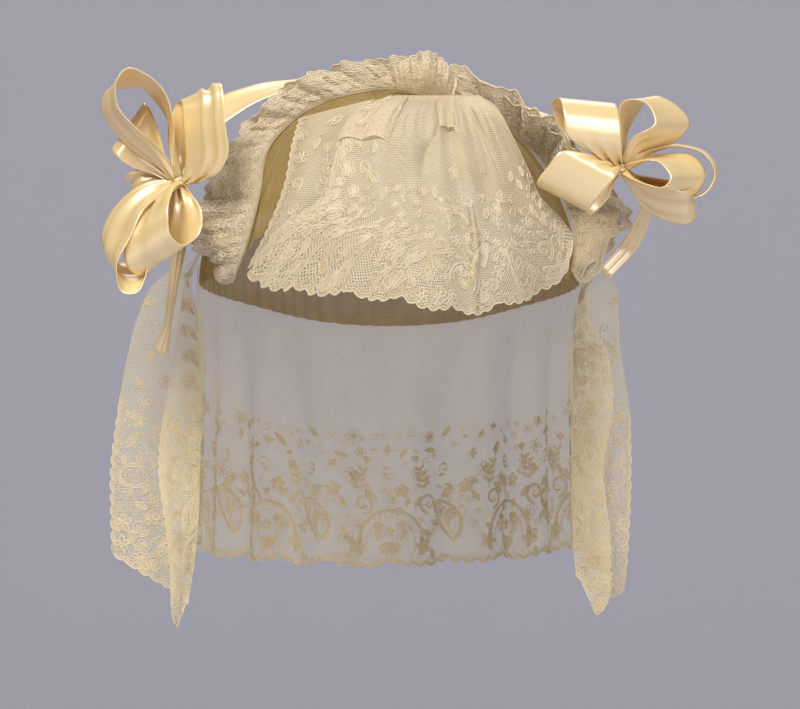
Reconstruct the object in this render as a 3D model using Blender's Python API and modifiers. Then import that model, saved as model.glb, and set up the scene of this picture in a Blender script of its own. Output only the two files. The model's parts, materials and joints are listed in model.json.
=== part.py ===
"""Evening cap of net and lace with two satin ribbon bows, in the form it takes when it is worn.

The origin is the top of the hollow under the crown, -Y is the front and +Z is up.
Tables are in millimetres, and every point is turned to metres when its mesh is made.
"""

import math
from collections import namedtuple

import bmesh
import bpy
import numpy as np

MM = 0.001

# The cap's hollow, an ellipsoid whose top is the origin
HOLLOW_CENTRE = (0.0, 2.0, -88.0)
HOLLOW_RADII = (77.0, 97.0, 88.0)

# Where the front's cloth leaves the hollow: the square of its depth there as a share of the
# hollow's, and how softly it turns away
BROW_SHARE = 0.25
BROW_SOFTNESS = 0.06

# Walls and clearances
LACE_WALL = 1.0
SATIN_WALL = 1.0
CROWN_LIFT = 1.6
SEWN_LIFT = 3.0

# Satin ribbon of the bows
RIBBON_PINCH = 5.0
HEART_RADIUS = 6.8
LEFT_HEART = (-86.0, -51.0, -43.0)
RIGHT_HEART = (94.5, -60.0, -37.5)

# Colours as linear red, green and blue
NET_COLOUR = (0.72, 0.64, 0.44)
LACE_COLOUR = (0.78, 0.69, 0.47)
SATIN_COLOUR = (0.90, 0.70, 0.38)

# Crown: height of its rim at each bearing round the hollow, 0 at the front and 180 at the back
Rim = namedtuple("Rim", "bearing height")
CROWN_RIM = [
    Rim(0, -15), Rim(20, -22), Rim(38, -44), Rim(56, -70),
    Rim(90, -82), Rim(135, -92), Rim(180, -104),
]
CROWN_SEGMENTS = 32
CROWN_RINGS = 6
CROWN_GATHERS = 8
CROWN_GATHER_DEPTH = 0.6

# Frill from the left side over the top to the right side. bearing and polar say where it is
# sewn, as angles round the hollow from the front and down from its top; x, y and z are its free
# edge.
FrillStation = namedtuple("FrillStation", "at bearing polar x y z")
FRILL = [
    FrillStation(0.00, -52, 85, -64, -47, -84),
    FrillStation(0.08, -48, 77, -79, -43, -69),
    FrillStation(0.18, -48, 63, -76, -45, -48),
    FrillStation(0.29, -56, 45, -62, -41, -24),
    FrillStation(0.40, -42, 29, -40, -36, -2),
    FrillStation(0.51, 3, 21.5, -10, -33, 7),
    FrillStation(0.62, 48, 31, 22, -33, 6),
    FrillStation(0.73, 73, 46, 54, -35, -9),
    FrillStation(0.83, 83, 59, 80, -34, -30),
    FrillStation(0.92, 88, 71, 98, -25, -58),
    FrillStation(1.00, 72, 84, 78, -37, -84),
]
FRILL_COLUMNS = 74
FRILL_ROWS = 3
FRILL_RUFFLES = 15
FRILL_RUFFLE_DEPTH = 3.2
FRILL_SCALLOPS = 24
FRILL_SCALLOP_DEPTH = 2.2

# Front fall: its two side edges and its hem from the front, and how far it stands off the hollow
FallSide = namedtuple("FallSide", "down left_x left_z right_x right_z lift")
FALL_SIDES = [
    FallSide(0.00, 2, -6.9, 37, -7, 5.0),
    FallSide(0.14, -10, -12, 44, -12, 7.0),
    FallSide(0.32, -19, -22, 51, -25, 8.0),
    FallSide(0.52, -23, -38, 57, -38, 7.5),
    FallSide(0.70, -28, -51, 62, -49, 7.0),
    FallSide(0.86, -45, -62, 70, -57, 7.0),
    FallSide(1.00, -59, -81, 76, -65, 7.0),
]
# Where the fall is sewn on the crown, and the share of its drop over which it leaves that line
FALL_SEAM_Y = -43.5
FALL_SEAM_SHARE = 0.14
FallHem = namedtuple("FallHem", "across x z")
FALL_HEM = [
    FallHem(0.00, -59, -81), FallHem(0.10, -45, -85.5), FallHem(0.26, -21, -87.5),
    FallHem(0.44, 6, -90.5), FallHem(0.56, 24, -94), FallHem(0.65, 36, -94.5),
    FallHem(0.76, 50, -90.5), FallHem(0.87, 63, -86), FallHem(0.95, 73, -76),
    FallHem(1.00, 76, -65),
]
# Folds that run from the gather towards the hem: where each starts and ends across the fall
FallFold = namedtuple("FallFold", "top hem width height")
FALL_FOLDS = [
    FallFold(0.04, 0.06, 0.07, 3.0),
    FallFold(0.22, 0.22, 0.07, 3.4),
    FallFold(0.38, 0.36, 0.06, 3.0),
    FallFold(0.54, 0.50, 0.06, 3.6),
    FallFold(0.70, 0.64, 0.06, 3.2),
    FallFold(0.84, 0.80, 0.07, 3.0),
    FallFold(0.97, 0.95, 0.06, 2.4),
]
FALL_COLUMNS = 42
FALL_ROWS = 12
FALL_SCALLOPS = 7
FALL_SCALLOP_DEPTH = 2.6

# Under layer of the fall, which shows to the left of the fall's folded edge
UnderSide = namedtuple("UnderSide", "down outer_x outer_z inner_x inner_z lift")
UNDER_SIDES = [
    UnderSide(0.00, -43, -21, -6, -8.5, 3.0),
    UnderSide(0.25, -46, -30, -13, -16, 3.2),
    UnderSide(0.50, -50, -46, -15, -33, 3.4),
    UnderSide(0.75, -55, -63, -24, -52, 3.4),
    UnderSide(1.00, -59, -79, -48, -72, 3.2),
]
UNDER_COLUMNS = 10
UNDER_ROWS = 8
UNDER_FOLDS = 2
UNDER_FOLD_DEPTH = 1.1

# Puff: the gathered heading of the fall, which stands up at its top
PuffStation = namedtuple("PuffStation", "at root_x x y z")
PUFF = [
    PuffStation(0.0, 1, -2, -43, 0),
    PuffStation(0.2, 6, 4, -43, 6),
    PuffStation(0.45, 13, 14, -43, 11.5),
    PuffStation(0.7, 20, 22, -43, 8.5),
    PuffStation(0.85, 23, 25, -42, 4),
    PuffStation(1.0, 26, 28, -40.5, -1),
]
PUFF_ROOT_Y = -39.5
PUFF_ROOT_LIFT = 2.9
PUFF_COLUMNS = 16
PUFF_ROWS = 3
PUFF_RUFFLES = 3.5
PUFF_RUFFLE_DEPTH = 2.0

# Ribbon over the crown, from the end that hangs at the left lappet, past both bows, to its other
# end at the right one. x, y and z are its middle line, and the rest is the vector across it.
BandStation = namedtuple("BandStation", "at x y z across_x across_y across_z")
BAND = [
    BandStation(0.00, -92, -31, -113, 3, 9, 0),
    BandStation(0.08, -89, -33, -90, 3, 10, 0),
    BandStation(0.16, -86.5, -36, -66, 4, 8, 1),
    BandStation(0.22, -85.0, -40.5, -44, 1, 7, 0),
    BandStation(0.27, -83, -32, -32, 2, 12, 3),
    BandStation(0.33, -74, -20, -18, 2, 19, 5),
    BandStation(0.39, -57, -15, -8.5, 1, 21, 4),
    BandStation(0.46, -38, -12, -2.0, 0, 22, 3.5),
    BandStation(0.53, -16, -10, 1.6, 0, 22, 3.3),
    BandStation(0.60, 8, -10, 2.4, 0, 22, 3.3),
    BandStation(0.68, 32, -11, -2.8, 0, 22, 3.3),
    BandStation(0.75, 57, -14, -12, -1, 21, 4),
    BandStation(0.82, 83, -28, -24.5, -3, 14, 5),
    BandStation(0.87, 95.0, -50.9, -38, -1, 7, 0),
    BandStation(0.92, 106, -26, -51, -2, 8, 3),
    BandStation(0.96, 101, -12, -66, 2, 9, 5),
    BandStation(1.00, 89, -17, -80, 2, 8, 6),
]
BAND_COLUMNS = 48
BAND_ROWS = 2

# Bow loops, each as sections along its ribbon from the heart and back to it. x, y and z are the
# ribbon's middle from the heart, and the rest is the vector across it.
Section = namedtuple("Section", "x y z across_x across_y across_z")
LEFT_LOOPS = {
    "tall": [
        Section(-2, -1, 13, -1, 14, 0), Section(-4, -1, 26, -4, 22, 3),
        Section(-9, -2, 36.5, -6, 22, -2), Section(-15, -4, 41.8, -3, 22, -5),
        Section(-21, -6, 42.6, -1, 22, -8), Section(-27, -7, 40, -4, 22, -3),
        Section(-28.6, -7, 32, -7, 22, -1.3), Section(-20.7, -6, 20, -6, 20, -5),
        Section(-11, -3, 11.6, -4, 14, -6),
    ],
    "upright": [
        Section(2, 3, 10, 12, -6, -2), Section(4, 2, 26, 17, -14, 0),
        Section(7.5, -2, 38, 17, -15, 1), Section(9.5, -10, 37.5, 17, -15, 0),
        Section(10.5, -14, 24, 17.5, -16, 0), Section(11.5, -13.5, 10, 17.5, -16, 0),
        Section(8.5, -9.5, 2, 13, -12, 1),
    ],
    "left": [
        Section(-8, 3, 7, 5, 0, 7), Section(-14, 5, 14, 11, 1, 15),
        Section(-20, 6, 21.5, 13.4, 1, 19.6), Section(-21.5, 9, 23.5, 13.4, 1, 19.6),
        Section(-19, 12, 20.5, 13.4, 1, 19.6), Section(-9, 9, 8, 5, 0, 7),
    ],
    "low_left": [
        Section(-10, -2, -2.5, -4, 12, 6), Section(-20, -4, -10, -7, 18, 6),
        Section(-27, -6, -22, -9, 20, 3), Section(-29.4, -7, -34, -7, 21, 2),
        Section(-25, -6, -42, -3, 22, -5), Section(-18, -4, -43, 1, 21, -7),
        Section(-11, -1, -34, 4, 18, -6), Section(-5, 2, -17, 3, 11, -3),
    ],
    "low_front": [
        Section(-9, -12, -8, 13, -6, 9), Section(-13, -18, -20, 18.2, -9.4, 12.6),
        Section(-12, -17, -28, 18.2, -9.4, 12.6), Section(-7, -12, -32, 18.2, -9.4, 12.6),
        Section(-1, -8, -28, 18.2, -9.4, 12.6), Section(1, -6, -17, 17, -8, 11),
        Section(1, -5, -8, 9, -4, 6),
    ],
    "behind": [
        Section(-9, 7, 2, 4, 2, -8), Section(-17, 9, -1, 6, 3, -12),
        Section(-19, 14, -3, 6, 3, -12), Section(-13, 16.5, -2, 6, 3, -11),
        Section(-5, 11, -1, 3, 2, -7),
    ],
}
RIGHT_LOOPS = {
    "barrel": [
        Section(-6, -8, 5, 13, 3.5, -2), Section(-11, -14, 13, 22.5, 6, -2),
        Section(-12, -13, 22, 23, 6.5, -2), Section(-12, -7, 27.5, 23, 6.5, -2),
        Section(-12, 1, 26, 23, 6.5, -2), Section(-10, 5, 15, 20, 5, -3),
        Section(-4, 3, 7, 9, 2, -1),
    ],
    "low_left": [
        Section(-7, -9, 2, 13, 1.5, -6.5), Section(-13, -13, 1.5, 21, 3, -11),
        Section(-19, -12, -5, 21.5, 3, -11.5), Section(-23.5, -7, -11.5, 21.5, 3, -11.5),
        Section(-22, -1, -13, 21, 3, -11), Section(-13, 2, -7, 17, 3, -9),
        Section(-6, 1, -3, 8, 1, -4),
    ],
    "open": [
        Section(7.8, -2, 9.3, 5, 15, -6), Section(16, -1, 13, 11, 20, -5),
        Section(21.3, 0, 18.6, 14.8, 18.7, 0), Section(18, 1, 25.2, 12, 20, 1),
        Section(10.2, 2, 29, 7, 22, 2), Section(3.5, 3, 24, 6, 20, -6),
        Section(0.5, 3, 11, 3, 12, -3),
    ],
    "large": [
        Section(13.5, -2, 4.5, 4, 20, 3), Section(23, -3, 3.6, 13, 19, 4),
        Section(27.5, -4, -3.3, 15, 18, 1.3), Section(24.3, -4, -9, 13, 19, -3.3),
        Section(13.1, -3, -9.5, 5, 20, -6), Section(5.5, -2, -6, 2, 13, -5),
    ],
    "arc": [
        Section(12, 9, 7, 2, 13, 1), Section(26, 13, 9.6, 2, 19, 1),
        Section(36, 14, 6, 2, 20, 1), Section(39.7, 14, -1.5, 2, 20, 1),
        Section(36, 13, -9, 2, 20, 1), Section(24, 12, -11, 2, 19, 1),
        Section(10, 8, -6, 2, 13, 1),
    ],
    "low_right": [
        Section(8, 4, -10, 4, 13, -11), Section(19, 4, -15, 3, 17, -13),
        Section(28, 6, -15.5, 2, 17, -13), Section(31, 10, -12.5, 2, 17, -12),
        Section(25, 13, -10, 3, 17, -10), Section(9, 9, -5, 3, 12, -6),
    ],
}
LOOP_COLUMNS = 12
LOOP_ROWS = 2

# Lappets: a strip of lace on each side, folded once along its length. edge is the outer side,
# fold the inner line, and flap the free side that lies in front.
LappetStation = namedtuple("LappetStation", "z edge_x edge_y fold_x fold_y flap_x flap_y")
LEFT_LAPPET = [
    LappetStation(-70, -78.3, 6, -77.9, -4, -77.9, -13),
    LappetStation(-82, -96, 4, -82, -2, -84, -12),
    LappetStation(-98, -105, 3, -79.5, -2, -87, -11),
    LappetStation(-114, -109, 2, -78.5, -3, -89, -11),
    LappetStation(-135, -113, 1, -78, -3, -93, -11),
    LappetStation(-156, -116, 1, -78.5, -3, -96, -11),
    LappetStation(-192, -116, 0, -80, -4, -92, -11),
    LappetStation(-230, -114, 0, -86, -5, -90, -10),
]
RIGHT_LAPPET = [
    LappetStation(-70, 78.3, 6, 77.9, -4, 77.9, -13),
    LappetStation(-82, 93, 4, 80, -3, 84, -12),
    LappetStation(-98, 96, 3, 77, -3, 84, -12),
    LappetStation(-114, 97, 2, 76.5, -3, 91, -12),
    LappetStation(-135, 100, 1, 76.5, -4, 93, -11),
    LappetStation(-162, 101, 1, 75.5, -4, 89, -11),
    LappetStation(-188, 100, 0, 76, -4, 92, -11),
    LappetStation(-225, 97, 0, 80, -5, 92, -10),
]
LappetHem = namedtuple("LappetHem", "across z")
LEFT_LAPPET_HEM = [
    LappetHem(0.0, -197), LappetHem(0.25, -206), LappetHem(0.5, -213),
    LappetHem(0.7, -218), LappetHem(0.88, -227), LappetHem(1.0, -221),
]
RIGHT_LAPPET_HEM = [
    LappetHem(0.0, -212), LappetHem(0.25, -215), LappetHem(0.5, -204),
    LappetHem(0.7, -208), LappetHem(0.88, -222), LappetHem(1.0, -214),
]
LAPPET_COLUMNS = 12
LAPPET_ROWS = 11
LAPPET_SCALLOP_DEPTH = 1.6

# Back fall: the curtain round the back, from the left lappet to the right one
BackStation = namedtuple("BackStation", "at top_x top_y top_z hem_x hem_y hem_z")
BACK_FALL = [
    BackStation(0.00, -80.1, 14, -75, -83, 34, -190),
    BackStation(0.10, -76.8, 32.3, -79, -81, 56, -194),
    BackStation(0.22, -65.5, 58.6, -85, -68, 80, -198),
    BackStation(0.36, -42, 87.5, -92, -42, 100, -201),
    BackStation(0.50, 0, 102.2, -98, 0, 112, -203),
    BackStation(0.64, 42, 87.5, -92, 42, 100, -200),
    BackStation(0.78, 65.5, 58.6, -85, 68, 80, -197),
    BackStation(0.90, 76.8, 32.3, -79, 80, 56, -193),
    BackStation(1.00, 80.1, 14, -75, 82, 34, -189),
]
BACK_COLUMNS = 44
BACK_ROWS = 6
BACK_WAVES = 9
BACK_WAVE_DEPTH = 3.6
BACK_SCALLOPS = 12
BACK_SCALLOP_DEPTH = 2.6

collections = {}


def new_collection(name):
    """An empty collection in the scene."""
    made = bpy.data.collections.new(name)
    bpy.context.scene.collection.children.link(made)
    collections[name] = made


def material(name, colour, roughness):
    """A Principled material, made once for each name."""
    made = bpy.data.materials.get(name) or bpy.data.materials.new(name)
    made.use_nodes = True
    shader = made.node_tree.nodes["Principled BSDF"]
    shader.inputs["Base Color"].default_value = (*colour, 1.0)
    shader.inputs["Roughness"].default_value = roughness
    shader.inputs["Metallic"].default_value = 0.0
    return made


def through(rows, t):
    """The other columns at t on a smooth curve through the rows, whose first column is t."""
    table = np.array([list(row) for row in rows], float)
    knots, values = table[:, 0], table[:, 1:]
    slopes = np.gradient(values, knots, axis=0)
    i = int(np.clip(np.searchsorted(knots, t, side="right") - 1, 0, len(knots) - 2))
    span = knots[i + 1] - knots[i]
    s = (t - knots[i]) / span
    return (
        (2 * s**3 - 3 * s**2 + 1) * values[i]
        + (s**3 - 2 * s**2 + s) * span * slopes[i]
        + (3 * s**2 - 2 * s**3) * values[i + 1]
        + (s**3 - s**2) * span * slopes[i + 1]
    )


def eased(t):
    """0 to 1 with no corner at either end."""
    t = min(max(t, 0.0), 1.0)
    return t * t * (3 - 2 * t)


def unit(vector):
    """The vector at length 1."""
    vector = np.asarray(vector, float)
    return vector / np.linalg.norm(vector)


def scallop(at, count):
    """0 where two scallops meet and 1 at the middle of each."""
    return abs(math.sin(math.pi * count * at)) ** 0.7


def front_of_hollow(x, z, lift, share=BROW_SHARE):
    """Y of the front of the hollow at x and z, with the surface raised by lift.

    Near the hollow's outline the cloth doesn't follow it back, but goes straight down.
    """
    wide, deep, tall = (radius + lift for radius in HOLLOW_RADII)
    left = 1 - (x / wide) ** 2 - ((z - HOLLOW_CENTRE[2]) / tall) ** 2 - share
    kept = share + (left + math.hypot(left, BROW_SOFTNESS)) / 2
    return HOLLOW_CENTRE[1] - deep * math.sqrt(kept)


def on_hollow(bearing, polar, lift):
    """The point of the hollow at these two angles in degrees, raised by lift."""
    wide, deep, tall = (radius + lift for radius in HOLLOW_RADII)
    turn, down = math.radians(bearing), math.radians(polar)
    return np.array(HOLLOW_CENTRE) + [
        wide * math.sin(down) * math.sin(turn),
        -deep * math.sin(down) * math.cos(turn),
        tall * math.cos(down),
    ]


def top_of_hollow(x, y, lift):
    """Z of the top of the hollow at x and y, with the surface raised by lift."""
    wide, deep, tall = (radius + lift for radius in HOLLOW_RADII)
    return HOLLOW_CENTRE[2] + tall * math.sqrt(1 - (x / wide) ** 2 - ((y - HOLLOW_CENTRE[1]) / deep) ** 2)


def add_object(name, mesh, finish, where):
    """An object for a mesh, in the named collection."""
    made = bpy.data.objects.new(name, mesh)
    mesh.materials.append(finish)
    mesh.shade_smooth()
    collections[where].objects.link(made)
    return made


def add_wall(obj, thickness):
    """Gives an open surface its thickness, half to each side."""
    wall = obj.modifiers.new("wall", "SOLIDIFY")
    wall.thickness = thickness * MM
    wall.offset = 0.0


def cloth(name, columns, rows, surface, thickness, finish, where="evening_cap"):
    """A sheet: a grid whose points are moved to surface(across, down), then given a wall."""
    bm = bmesh.new()
    bmesh.ops.create_grid(bm, x_segments=columns, y_segments=rows, size=0.5)
    for vert in bm.verts:
        vert.co = np.array(surface(vert.co.x + 0.5, vert.co.y + 0.5)) * MM
    mesh = bpy.data.meshes.new(name)
    bm.to_mesh(mesh)
    bm.free()
    made = add_object(name, mesh, finish, where)
    add_wall(made, thickness)
    return made


def make_crown(finish):
    """Net crown over the top and back, lightly gathered at its rim."""
    bm = bmesh.new()
    bmesh.ops.create_uvsphere(bm, u_segments=CROWN_SEGMENTS, v_segments=2 * CROWN_RINGS, radius=1.0)
    low = [vert for vert in bm.verts if vert.co.z < -0.01]
    bmesh.ops.delete(bm, geom=low, context="VERTS")
    for vert in bm.verts:
        bearing = math.degrees(abs(math.atan2(vert.co.x, -vert.co.y)))
        down = math.acos(min(max(vert.co.z, -1.0), 1.0)) / (math.pi / 2)
        rim = through(CROWN_RIM, bearing)[0]
        rim_angle = math.acos((rim - HOLLOW_CENTRE[2]) / HOLLOW_RADII[2])
        turn = math.atan2(vert.co.x, -vert.co.y)
        gathers = (math.cos(CROWN_GATHERS * turn) - 1) / 2 * CROWN_GATHER_DEPTH * down**3
        polar = math.degrees(down * rim_angle)
        vert.co = on_hollow(math.degrees(turn), polar, CROWN_LIFT + gathers) * MM
    mesh = bpy.data.meshes.new("crown")
    bm.to_mesh(mesh)
    bm.free()
    add_wall(add_object("crown", mesh, finish, "evening_cap"), LACE_WALL)


def frill_point(across, down):
    """Frill from its seam on the crown (down 0) to its scalloped free edge (down 1)."""
    bearing, polar, *free = through(FRILL, across)
    root = on_hollow(bearing, polar, SEWN_LIFT)
    outward = np.array(free) - root
    step = 0.01
    near = through(FRILL, min(across + step, 1.0)) - through(FRILL, max(across - step, 0.0))
    along = unit(near[2:])
    normal = unit(np.cross(along, outward))
    ruffle = math.sin(2 * math.pi * FRILL_RUFFLES * across) * FRILL_RUFFLE_DEPTH * down
    edge = FRILL_SCALLOP_DEPTH * scallop(across, FRILL_SCALLOPS) * down**4
    return root + outward * down + unit(outward) * edge + normal * ruffle


def fall_point(across, down):
    """Front fall from its gathers (down 0) to its scalloped hem (down 1)."""
    left_x, left_z, right_x, right_z, lift = through(FALL_SIDES, down)
    hem_x, hem_z = through(FALL_HEM, across)
    hem_left, hem_right = np.array(FALL_HEM[0][1:]), np.array(FALL_HEM[-1][1:])
    straight = hem_left + (hem_right - hem_left) * across
    bulge = (np.array([hem_x, hem_z]) - straight) * down
    side = np.array([left_x + (right_x - left_x) * across, left_z + (right_z - left_z) * across])
    x, z = side + bulge
    z -= FALL_SCALLOP_DEPTH * scallop(across, FALL_SCALLOPS) * eased((down - 0.8) / 0.2)
    for fold in FALL_FOLDS:
        middle = fold.top + (fold.hem - fold.top) * down
        shape = math.exp(-(((across - middle) / fold.width) ** 2))
        fade = (0.35 + 0.65 * eased(down / 0.25)) * (1 - 0.6 * eased((down - 0.35) / 0.6))
        lift += fold.height * shape * fade
    freed = eased(down / FALL_SEAM_SHARE)
    return x, FALL_SEAM_Y + (front_of_hollow(x, z, lift) - FALL_SEAM_Y) * freed, z


def under_point(across, down):
    """Under layer of the fall, from the crown's seam to below the fall's folded edge."""
    outer_x, outer_z, inner_x, inner_z, lift = through(UNDER_SIDES, down)
    x = outer_x + (inner_x - outer_x) * across
    z = outer_z + (inner_z - outer_z) * across
    folds = (1 - math.cos(2 * math.pi * UNDER_FOLDS * across)) / 2
    lift += UNDER_FOLD_DEPTH * folds * eased(down * (1 - down) * 4)
    return x, front_of_hollow(x, z, lift, 0.0), z


def puff_point(across, down):
    """Gathered heading of the fall, from its stitches (down 0) to its standing edge (down 1)."""
    root_x, *top = through(PUFF, across)
    root = np.array([root_x, PUFF_ROOT_Y, top_of_hollow(root_x, PUFF_ROOT_Y, PUFF_ROOT_LIFT)])
    belly = math.sin(math.pi * down) * 2.5
    standing = math.sin(math.pi * down * 0.8)
    wave = math.sin(2 * math.pi * PUFF_RUFFLES * across) * PUFF_RUFFLE_DEPTH * standing
    return root + (np.array(top) - root) * down + np.array([0.0, -belly + wave, 0.0])


def band_point(along, side):
    """Ribbon over the crown, whose two ends hang."""
    station = through(BAND, along)
    return station[:3] + station[3:] * (side - 0.5)


def loop_point(sections, heart):
    """Surface of one bow loop: out from the heart, round its tip and back."""
    rows = np.array(sections, float)
    pinched = [
        np.concatenate([unit(row[:3]) * RIBBON_PINCH / 2, unit(row[3:]) * RIBBON_PINCH])
        for row in (rows[0], rows[-1])
    ]
    rows = np.vstack([pinched[0], rows, pinched[1]])
    steps = np.linalg.norm(np.diff(rows[:, :3], axis=0), axis=1)
    at = np.concatenate([[0.0], np.cumsum(steps)]) / steps.sum()
    table = np.column_stack([at, rows])

    def point(along, side):
        section = through(table, along)
        return np.array(heart) + section[:3] + section[3:] * (side - 0.5)

    return point


def make_bow(name, heart, loops, finish):
    """A bow: loops of one ribbon, stitched together at its heart."""
    bpy.ops.mesh.primitive_uv_sphere_add(segments=10, ring_count=6, radius=HEART_RADIUS * MM)
    bow = bpy.context.object
    bow.name = name
    bow.data.name = name
    bow.location = np.array(heart) * MM
    bow.data.materials.append(finish)
    for collection in list(bow.users_collection):
        collection.objects.unlink(bow)
    collections["evening_cap"].objects.link(bow)
    for place, sections in loops.items():
        piece = cloth(
            f"{name}_{place}", LOOP_COLUMNS, LOOP_ROWS,
            loop_point(sections, heart), SATIN_WALL, finish, "cutters",
        )
        piece.hide_render = True
        piece.display_type = "WIRE"
        join = bow.modifiers.new(place, "BOOLEAN")
        join.operation = "UNION"
        join.use_self = True
        join.object = piece


def lappet_point(stations, hem):
    """Surface of a lappet: across goes from its outer edge to the fold and out to the flap."""

    def point(across, down):
        top = stations[0].z
        bottom = through(hem, across)[0]
        z = top + (bottom - top) * down
        falling = [row._replace(z=-row.z) for row in stations]
        edge_x, edge_y, fold_x, fold_y, flap_x, flap_y = through(falling, -z)
        # The strip's section: edge, near the fold, the fold's round back, behind the flap, flap
        ends = [
            (0.0, edge_x, edge_y),
            (0.42, fold_x * 0.7 + edge_x * 0.3, fold_y),
            (0.62, fold_x, fold_y - 1.5),
            (0.78, fold_x * 0.7 + flap_x * 0.3, flap_y + 2.0),
            (1.0, flap_x, flap_y),
        ]
        x, y = through(ends, across)
        outline = LAPPET_SCALLOP_DEPTH * scallop(across, 4) * eased((down - 0.85) / 0.15)
        return x, y, z - outline

    return point


def back_point(across, down):
    """Back fall from the crown's rim (down 0) to its scalloped hem (down 1)."""
    row = through(BACK_FALL, across)
    top, hem = row[:3], row[3:]
    ahead = through(BACK_FALL, min(across + 0.01, 1.0)) - through(BACK_FALL, max(across - 0.01, 0.0))
    outward = unit([ahead[4], -ahead[3], 0.0])
    wave = math.sin(2 * math.pi * BACK_WAVES * across) * BACK_WAVE_DEPTH * eased(down / 0.4)
    point = top + (hem - top) * down + outward * wave
    point[2] -= BACK_SCALLOP_DEPTH * scallop(across, BACK_SCALLOPS) * eased((down - 0.8) / 0.2)
    return point


def main():
    for obj in list(bpy.data.objects):
        bpy.data.objects.remove(obj, do_unlink=True)
    new_collection("evening_cap")
    new_collection("cutters")
    net = material("net", NET_COLOUR, 0.8)
    lace = material("lace", LACE_COLOUR, 0.8)
    satin = material("satin", SATIN_COLOUR, 0.35)
    make_crown(net)
    cloth("halo_frill", FRILL_COLUMNS, FRILL_ROWS, frill_point, LACE_WALL, lace)
    cloth("front_fall", FALL_COLUMNS, FALL_ROWS, fall_point, LACE_WALL, lace)
    cloth("under_fall", UNDER_COLUMNS, UNDER_ROWS, under_point, LACE_WALL, lace)
    cloth("top_puff", PUFF_COLUMNS, PUFF_ROWS, puff_point, LACE_WALL, lace)
    cloth("ribbon_band", BAND_COLUMNS, BAND_ROWS, band_point, SATIN_WALL, satin)
    make_bow("bow_left", LEFT_HEART, LEFT_LOOPS, satin)
    make_bow("bow_right", RIGHT_HEART, RIGHT_LOOPS, satin)
    for name, stations, hem in (
        ("lappet_left", LEFT_LAPPET, LEFT_LAPPET_HEM),
        ("lappet_right", RIGHT_LAPPET, RIGHT_LAPPET_HEM),
    ):
        cloth(name, LAPPET_COLUMNS, LAPPET_ROWS, lappet_point(stations, hem), LACE_WALL, lace)
    cloth("back_fall", BACK_COLUMNS, BACK_ROWS, back_point, LACE_WALL, lace)


main()
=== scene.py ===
import json
import math
import bpy
import numpy as np
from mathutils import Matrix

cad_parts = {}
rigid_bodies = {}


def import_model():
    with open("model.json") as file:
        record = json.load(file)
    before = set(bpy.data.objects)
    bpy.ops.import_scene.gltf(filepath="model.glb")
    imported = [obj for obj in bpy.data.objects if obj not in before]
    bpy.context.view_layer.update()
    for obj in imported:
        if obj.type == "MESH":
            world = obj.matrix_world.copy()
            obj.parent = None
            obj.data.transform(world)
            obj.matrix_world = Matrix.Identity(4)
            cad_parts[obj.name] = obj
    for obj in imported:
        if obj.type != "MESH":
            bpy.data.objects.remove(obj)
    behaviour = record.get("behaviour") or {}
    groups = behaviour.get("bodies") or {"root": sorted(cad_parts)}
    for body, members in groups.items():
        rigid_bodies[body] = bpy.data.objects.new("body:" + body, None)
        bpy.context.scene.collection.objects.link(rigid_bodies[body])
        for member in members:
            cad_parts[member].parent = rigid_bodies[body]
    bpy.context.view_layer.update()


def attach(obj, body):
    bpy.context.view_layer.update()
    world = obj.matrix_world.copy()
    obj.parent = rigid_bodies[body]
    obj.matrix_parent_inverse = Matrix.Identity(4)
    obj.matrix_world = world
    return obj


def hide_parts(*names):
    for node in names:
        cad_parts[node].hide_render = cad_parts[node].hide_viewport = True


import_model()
print("frame loaded")


def linearColour(code):
    channels = [int(code[i:i + 2], 16) / 255 for i in (1, 3, 5)]
    return tuple(c / 12.92 if c <= 0.04045 else ((c + 0.055) / 1.055) ** 2.4 for c in channels) + (1.0,)


def addNode(tree, kind, links=(), **settings):
    # a link names a socket, or a node for its first output; anything else is the socket's own value
    node = tree.nodes.new(kind)
    for name, value in settings.items():
        setattr(node, name, value)
    for socket, value in dict(links).items():
        if isinstance(value, bpy.types.Node):
            value = value.outputs[0]
        if isinstance(value, bpy.types.NodeSocket):
            tree.links.new(value, node.inputs[socket])
        else:
            node.inputs[socket].default_value = value
    return node


def newMaterial(name):
    made = bpy.data.materials.new(name)
    made.use_nodes = True
    made.node_tree.nodes.clear()
    return made, made.node_tree


def clothShader(tree, colour, settings, height, alpha=1.0):
    # thread reflects on its near side and lets some light through to its far side
    bump = addNode(tree, "ShaderNodeBump", {
        "Strength": settings["bumpStrength"], "Distance": settings["bumpHeight"], "Height": height,
    })
    surface = addNode(tree, "ShaderNodeBsdfPrincipled", {
        "Base Color": colour, "Roughness": settings["roughness"], "IOR": settings["ior"],
        "Sheen Weight": settings["sheen"], "Sheen Roughness": 0.5, "Normal": bump, "Alpha": alpha,
        "Specular IOR Level": settings["specular"],
    })
    through = addNode(tree, "ShaderNodeBsdfTranslucent", {"Color": colour, "Normal": bump})
    clear = addNode(tree, "ShaderNodeBsdfTransparent")
    back = addNode(tree, "ShaderNodeMixShader", {0: alpha, 1: clear, 2: through})
    mixed = addNode(tree, "ShaderNodeMixShader", {0: settings["glow"], 1: surface, 2: back})
    addNode(tree, "ShaderNodeOutputMaterial", {0: mixed})
    return surface


def mottledColour(tree, settings, place, scale, detail):
    # the material's deep and pale colours in soft patches, and the patches themselves
    patches = addNode(tree, "ShaderNodeTexNoise", {"Vector": place, "Scale": scale, "Detail": detail})
    colour = addNode(tree, "ShaderNodeMix", {
        0: patches, 6: linearColour(settings["deep"]), 7: linearColour(settings["pale"]),
    }, data_type="RGBA")
    return colour.outputs[2], patches


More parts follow.
